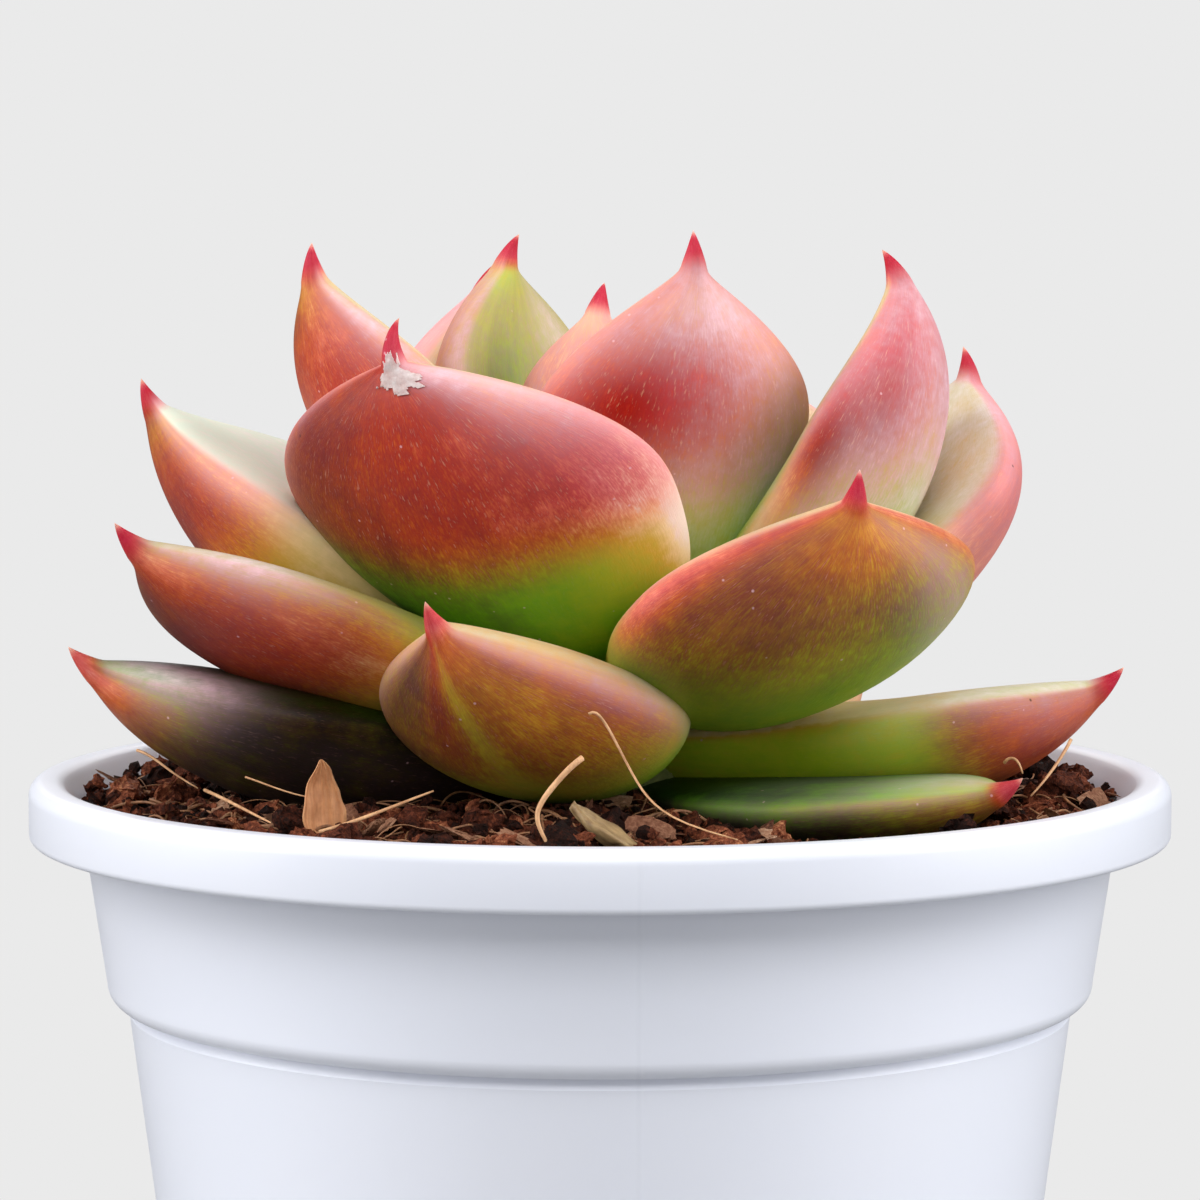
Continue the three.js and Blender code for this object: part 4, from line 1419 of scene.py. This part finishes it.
    def build(self, finishes: dict[str, Material], rosette: Rosette) -> None:
        """Builds the bed and everything loose on it.

        Args:
            finishes: the mix's materials by name.
            rosette: the leaves that the loose pieces keep clear of.
        """
        self.leaf_skin = rosette.low_skin()
        self.build_bed(finishes["bed"])
        draw = random.Random(self.seed)
        noise.seed_set(self.seed)
        coarse = self.chip_shapes(draw, 14, 2)
        fine = self.chip_shapes(draw, 16, 5)
        small = self.chip_shapes(draw, 8, 1)

        def anywhere(x: float, y: float) -> bool:
            """Whether a place is off the stem and the clearings."""
            clear = all(math.hypot(x - cx, y - cy) > reach for cx, cy, reach in self.clearings)
            return clear and math.hypot(x - ROSETTE_X, y) > self.stem_reach

        def in_front(x: float, y: float) -> bool:
            """Whether a place is one that is seen from the front or the sides."""
            return anywhere(x, y) and (y < -20.0 or abs(x) > 33.0)

        bark, flakes = finishes["chips"], finishes["flakes"]
        for layer in (
            ("mix_chips", bark, coarse, 1500, (1.0, 3.0), anywhere, (-0.3, 0.5), (0.3, 0.7)),
            ("mix_nuggets", bark, fine, 800, (1.2, 3.8), in_front, (0.0, 0.7), (0.4, 0.85)),
            ("mix_crumbs", bark, small, 5200, (0.35, 1.2), anywhere, (0.4, 1.8), (0.5, 0.95)),
            ("mix_flakes", flakes, coarse, 300, (1.0, 3.4), anywhere, (2.0, 7.0), (0.05, 0.13)),
        ):
            self.scatter(*layer, draw)
        self.strands("mix_fibres", finishes["fibres"], self.loose_routes(draw, 1100))


@dataclass(frozen=True)
class Straws:
    """The longer stalks on the mix, each a route of places in millimetres and a thickness."""

    stalks: tuple[Route, ...] = (
        (((-1.4, -42.6, 91.4), (-2.2, -43.1, 90.9), (-3.6, -43.3, 89.4), (-4.9, -43.4, 87.7),
          (-5.1, -43.4, 86.4), (-4.5, -43.4, 85.2), (-3.6, -43.3, 83.6)), 0.5),
        (((-0.9, -33.4, 93.9), (-0.5, -33.2, 94.2), (0.2, -33.0, 93.6), (1.4, -33.4, 91.4),
          (3.0, -34.4, 88.3), (4.6, -36.6, 86.4), (7.4, -39.6, 85.4), (10.9, -43.0, 84.9)), 0.26),
        (((-39.4, -14.2, 88.7), (-38.4, -15.0, 88.5), (-36.8, -15.9, 87.4), (-35.6, -16.4, 86.6),
          (-34.0, -17.2, 85.8)), 0.26),
        (((-29.5, -24.0, 87.6), (-27.4, -24.6, 87.0), (-25.2, -25.8, 86.0), (-22.0, -26.6, 86.0)), 0.18),
        (((-33.2, -20.0, 86.0), (-30.6, -26.0, 85.8), (-28.6, -31.6, 85.6), (-26.6, -36.4, 85.4)), 0.32),
        (((-22.6, -37.6, 84.8), (-19.8, -36.6, 85.4), (-16.8, -34.4, 86.5), (-13.6, -31.8, 87.4)), 0.36),
        (((40.6, -8.8, 89.0), (39.8, -9.8, 87.6), (38.4, -11.4, 86.0), (36.8, -13.0, 84.6)), 0.34),
        (((34.4, -14.2, 87.6), (34.9, -14.6, 88.4), (35.6, -14.8, 88.2), (35.9, -15.2, 86.8)), 0.3),
    )

    def build(self, mix: PottingMix, material: Material) -> None:
        """Lays the stalks on the mix, as one piece."""
        mix.strands("mix_straws", material, self.stalks)


@dataclass(frozen=True)
class TornSkin:
    """A scrap of old skin that still clings under one leaf's point."""

    along: Pair = (0.876, 0.938)
    around: Pair = (-106.0, -34.0)
    proud: float = 0.07
    thickness: float = 0.05
    curled: float = 0.16
    creased: float = 0.08
    cells: int = 26

    def build(self, leaf: Leaf, material: Material) -> None:
        """Lays a ragged grid on the leaf's skin, lifts its rim and gives it its thickness.

        Args:
            leaf: the leaf that it clings to.
            material: the pale film.
        """
        bm = bmesh.new()
        bmesh.ops.create_grid(bm, x_segments=self.cells, y_segments=self.cells, size=1.0)
        outside = [face for face in bm.faces if self.raggedness(face.calc_center_median()) > 1.0]
        bmesh.ops.delete(bm, geom=outside, context="FACES")
        for vert in bm.verts:
            u, v = vert.co.x, vert.co.y
            s = np.array([between(*self.along, (u + 1.0) / 2.0)])
            turn = np.array([math.radians(between(*self.around, (v + 1.0) / 2.0))])
            crease = self.creased * noise.noise(Vector((u * 3.1, v * 2.3, 4.0)))
            lift = self.proud + self.curled * max(0.0, self.raggedness(vert.co) - 0.5) + crease
            vert.co = Vector(leaf.skin(s, turn, max(0.04, lift))[0])
        thicken(bm, self.thickness)
        bmesh.ops.scale(bm, verts=bm.verts, vec=(MM, MM, MM))
        place_piece(object_from(bm, "torn_skin", material), "leaf")

    @staticmethod
    def raggedness(place: Vector) -> float:
        """How far out a place on the unit grid lies, over 1 where the film is torn away.

        Args:
            place: the grid point.

        Returns:
            The distance.
        """
        reach = math.hypot(place.x, place.y * 0.9)
        torn = noise.noise(Vector((place.x * 2.2, place.y * 2.6, 1.0))) * 0.55
        frayed = noise.noise(Vector((place.x * 7.0, place.y * 7.0, 3.0))) * 0.22
        return reach + torn + frayed + 0.12


@dataclass(frozen=True)
class Stem:
    """The short stem that the leaves grow from, with its root stock in the mix."""

    steps: int = 48
    profile: tuple[Pair, ...] = (
        (0.0, 62.0), (1.6, 62.6), (2.9, 67.0), (4.2, 72.0), (5.5, 76.0), (6.6, 80.0), (6.7, 85.0),
        (6.6, 90.0), (6.3, 96.0), (5.3, 100.0), (4.2, 102.0), (3.1, 104.0), (1.8, 105.6), (0.9, 106.05),
        (0.0, 106.2),
    )

    def build(self, material: Material) -> None:
        """Spins the stem and gives each vertex its grain.

        Args:
            material: its skin.
        """
        piece = object_from(spun(self.profile, self.steps, ROSETTE_X), "stem_core", material)
        add_attribute(piece.data, "grain", corners_of(piece.data) / MM)
        place_piece(piece, "stem", "stem")


@dataclass(frozen=True)
class DryScrap:
    """A shed leaf scrap, dried into a curl, at its solid's place."""

    node: str
    heading: float
    distance: float
    length: float
    width: float
    lean: float
    spin: float
    thickness: float = 0.34
    curl: float = 0.9
    lift: float = 0.0

    def build(self, mix: PottingMix, material: Material) -> None:
        """Shapes a grid into the scrap, curls it and gives it its thickness.

        Args:
            mix: what it stands in.
            material: the dry tissue.
        """
        bm = bmesh.new()
        bmesh.ops.create_grid(bm, x_segments=14, y_segments=26, size=0.5)
        for vert in bm.verts:
            across, along = vert.co.x * 2.0, vert.co.y + 0.5
            breadth = math.sin(math.pi * min(1.0, along * 0.96 + 0.04) ** 0.8) ** 0.75
            ragged = 0.12 * noise.noise(Vector((along * 6.0, self.length, math.copysign(2.0, across))))
            half = self.width * 0.5 * max(0.05, breadth + ragged)
            ruffle = 0.32 * noise.noise(Vector((across * 1.4, along * 3.6, self.distance)))
            cup = self.curl * (across * across - 0.35) * breadth
            ridge = 0.10 * math.cos(across * 12.0)
            vert.co = Vector((across * half, (along - 0.42) * self.length, cup + ruffle + ridge))
            vert.co.z += 0.9 * (along - 0.4) ** 2 * self.length * 0.25
        thicken(bm, self.thickness)
        rows = np.array([v.co for v in bm.verts])
        x, y = heading_point(self.heading, self.distance)
        spin, lean = math.radians(self.spin), math.radians(self.lean)
        height = mix.level_at(x, y) + 0.42 * self.length * math.sin(lean) * 0.55 + self.lift
        turn = Matrix.Rotation(spin, 4, "Z") @ Matrix.Rotation(lean, 4, "X")
        bmesh.ops.transform(bm, verts=bm.verts, matrix=Matrix.Translation((x, y, height)) @ turn)
        bmesh.ops.scale(bm, verts=bm.verts, vec=(MM, MM, MM))
        piece = object_from(bm, self.node.replace("dry_leaf", "shed_leaf"), material)
        add_attribute(piece.data, "grain", rows[:, [0, 2, 1]])
        place_piece(piece, "dry_leaf", self.node)


@dataclass(frozen=True)
class Studio:
    """The plain floor, the pale surround, the soft lights and the camera, in metres and degrees."""

    surround: float = 0.8228
    ambient: float = 0.15
    floor_light: float = 0.24
    floor_pale: float = 0.80
    floor_bounce: float = 0.30
    floor_radius: float = 3.0
    plain_from: float = 0.10
    plain_to: float = 0.21
    camera_distance: float = 0.435
    camera_slope: float = 4.93
    aim_height: float = 0.1003
    lens: float = 148.68
    light_aim: Triple = (0.0, 0.0, 0.1)

    SOFTBOXES = {
        "overhead": ((0.0, 0.02, 0.95), (0.75, 0.6), 2.2),
        "front_high": ((0.0, -0.78, 0.72), (0.9, 0.45), 5.1),
        "front_low": ((0.0, -1.05, 0.16), (0.8, 0.4), 1.35),
        "left_side": ((-0.85, -0.12, 0.42), (0.7, 0.8), 8.6),
        "right_side": ((0.85, -0.12, 0.42), (0.7, 0.8), 8.6),
        "rear_fill": ((0.0, 1.0, 0.6), (0.9, 0.5), 2.6),
    }

    def build(self) -> None:
        """Sets up everything round the plant."""
        self.add_camera()
        self.add_floor()
        self.add_world()
        self.add_lights()

    def add_camera(self) -> None:
        """Places the camera at the photograph's angle."""
        lens = bpy.data.cameras.new("camera")
        lens.lens = self.lens
        lens.sensor_width = 36.0
        lens.clip_start = 0.01
        camera = linked("camera", lens)
        slope, away = math.radians(self.camera_slope), self.camera_distance
        camera.location = (0.0, -away * math.cos(slope), self.aim_height + away * math.sin(slope))
        camera.rotation_euler = (math.pi / 2 - slope, 0.0, 0.0)
        bpy.context.scene.camera = camera

    def add_floor(self) -> None:
        """Lays a pale floor that fades into the surround."""
        s = Shader("studio_floor")
        x, y, _ = s.parts(s.point())
        away = ((x * x + y * y) ** 0.5) * MM
        fade = away.stepped(self.plain_from, self.plain_to)
        seen = s.node("ShaderNodeLightPath", output="Is Camera Ray")
        pale = s.mix(seen, (self.floor_bounce,) * 3, (self.floor_pale,) * 3)
        matt = s.node("ShaderNodeBsdfDiffuse", {}, {"Color": pale})
        grey = (self.surround, self.surround, self.surround, 1.0)
        strength = self.floor_light + (1.0 - self.floor_light) * seen
        glow = s.node("ShaderNodeEmission", {}, {"Color": grey, "Strength": strength})
        both = s.node("ShaderNodeMixShader", {}, {0: fade, 1: matt, 2: glow})
        s.node("ShaderNodeOutputMaterial", {}, {"Surface": both})
        bm = bmesh.new()
        bmesh.ops.create_circle(bm, cap_ends=True, segments=96, radius=self.floor_radius)
        object_from(bm, "studio_floor", s.material, rounded=False)

    def add_world(self) -> None:
        """Fills the surround: pale to the camera, dimmer as light."""
        world = bpy.data.worlds.new("studio")
        bpy.context.scene.world = world
        world.use_nodes = True
        nodes, links = world.node_tree.nodes, world.node_tree.links
        nodes.clear()
        path = nodes.new("ShaderNodeLightPath")
        light, seen = nodes.new("ShaderNodeBackground"), nodes.new("ShaderNodeBackground")
        both, out = nodes.new("ShaderNodeMixShader"), nodes.new("ShaderNodeOutputWorld")
        light.inputs["Color"].default_value = (0.97, 0.98, 1.0, 1.0)
        light.inputs["Strength"].default_value = self.ambient
        seen.inputs["Color"].default_value = (self.surround, self.surround, self.surround, 1.0)
        links.new(path.outputs["Is Camera Ray"], both.inputs[0])
        links.new(light.outputs[0], both.inputs[1])
        links.new(seen.outputs[0], both.inputs[2])
        links.new(both.outputs[0], out.inputs["Surface"])

    def add_lights(self) -> None:
        """Hangs the softboxes, with their places and sizes in metres, and aims them at the plant."""
        for name, (place, size, watts) in self.SOFTBOXES.items():
            lamp = bpy.data.lights.new(name, "AREA")
            lamp.shape = "RECTANGLE"
            lamp.size, lamp.size_y = size
            lamp.energy = watts
            box = linked(name, lamp)
            box.location = place
            aim = Vector(self.light_aim) - Vector(place)
            box.rotation_euler = aim.to_track_quat("-Z", "Y").to_euler()


BARK_TONES: Stops = (
    (0.0, (0.002, 0.0006, 0.0004)),
    (0.3, (0.018, 0.0045, 0.0022)),
    (0.55, (0.085, 0.020, 0.009)),
    (0.8, (0.27, 0.075, 0.034)),
    (1.0, (0.60, 0.26, 0.12)),
)
FLAKE_TONES: Stops = (
    (0.0, (0.06, 0.02, 0.012)),
    (0.4, (0.22, 0.09, 0.05)),
    (0.75, (0.42, 0.22, 0.13)),
    (1.0, (0.62, 0.42, 0.30)),
)


def main() -> None:
    """Builds the plant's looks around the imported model."""
    logging.basicConfig(level=logging.INFO, format="%(message)s")
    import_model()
    scene = bpy.context.scene
    scene.view_settings.view_transform = "Standard"
    Studio().build()
    pot = NurseryPot()
    pot.build(PotPlastic().material())
    rosette = Rosette()
    rosette.build(LeafSkin().material())
    mix = PottingMix(pot=pot)
    finishes = {
        # The bed is painted darker than the chips: painted shade for the gaps between the pieces on it.
        "bed": BarkTone("bark_bed", BARK_TONES, light=-0.36).material(),
        "chips": BarkTone("bark_chips", BARK_TONES).material(),
        "flakes": BarkTone("bark_flakes", FLAKE_TONES).material(),
        "fibres": DryTissue("coir_fibre", (0.10, 0.035, 0.016), (0.42, 0.20, 0.09)).material(),
    }
    mix.build(finishes, rosette)
    Stem().build(DryTissue("stem_skin", (0.16, 0.20, 0.05), (0.42, 0.46, 0.16), 0.9).material())
    dry = DryTissue("dry_leaf", (0.36, 0.13, 0.045), (0.74, 0.36, 0.16)).material()
    straw = DryTissue("straw", (0.34, 0.15, 0.06), (0.78, 0.46, 0.24), 0.9).material()
    Straws().build(mix, straw)
    TornSkin().build(rosette.leaves[11], SkinFilm().material())
    DryScrap("dry_leaf_left", -38, 37, 8, 3.6, 76, 20).build(mix, dry)
    olive = DryTissue("dry_olive_leaf", (0.14, 0.075, 0.03), (0.42, 0.29, 0.13)).material()
    DryScrap("dry_leaf_front", 1, 37.5, 6.6, 4.6, 34, 84, lift=0.7).build(mix, olive)


if __name__ == "__main__":
    main()
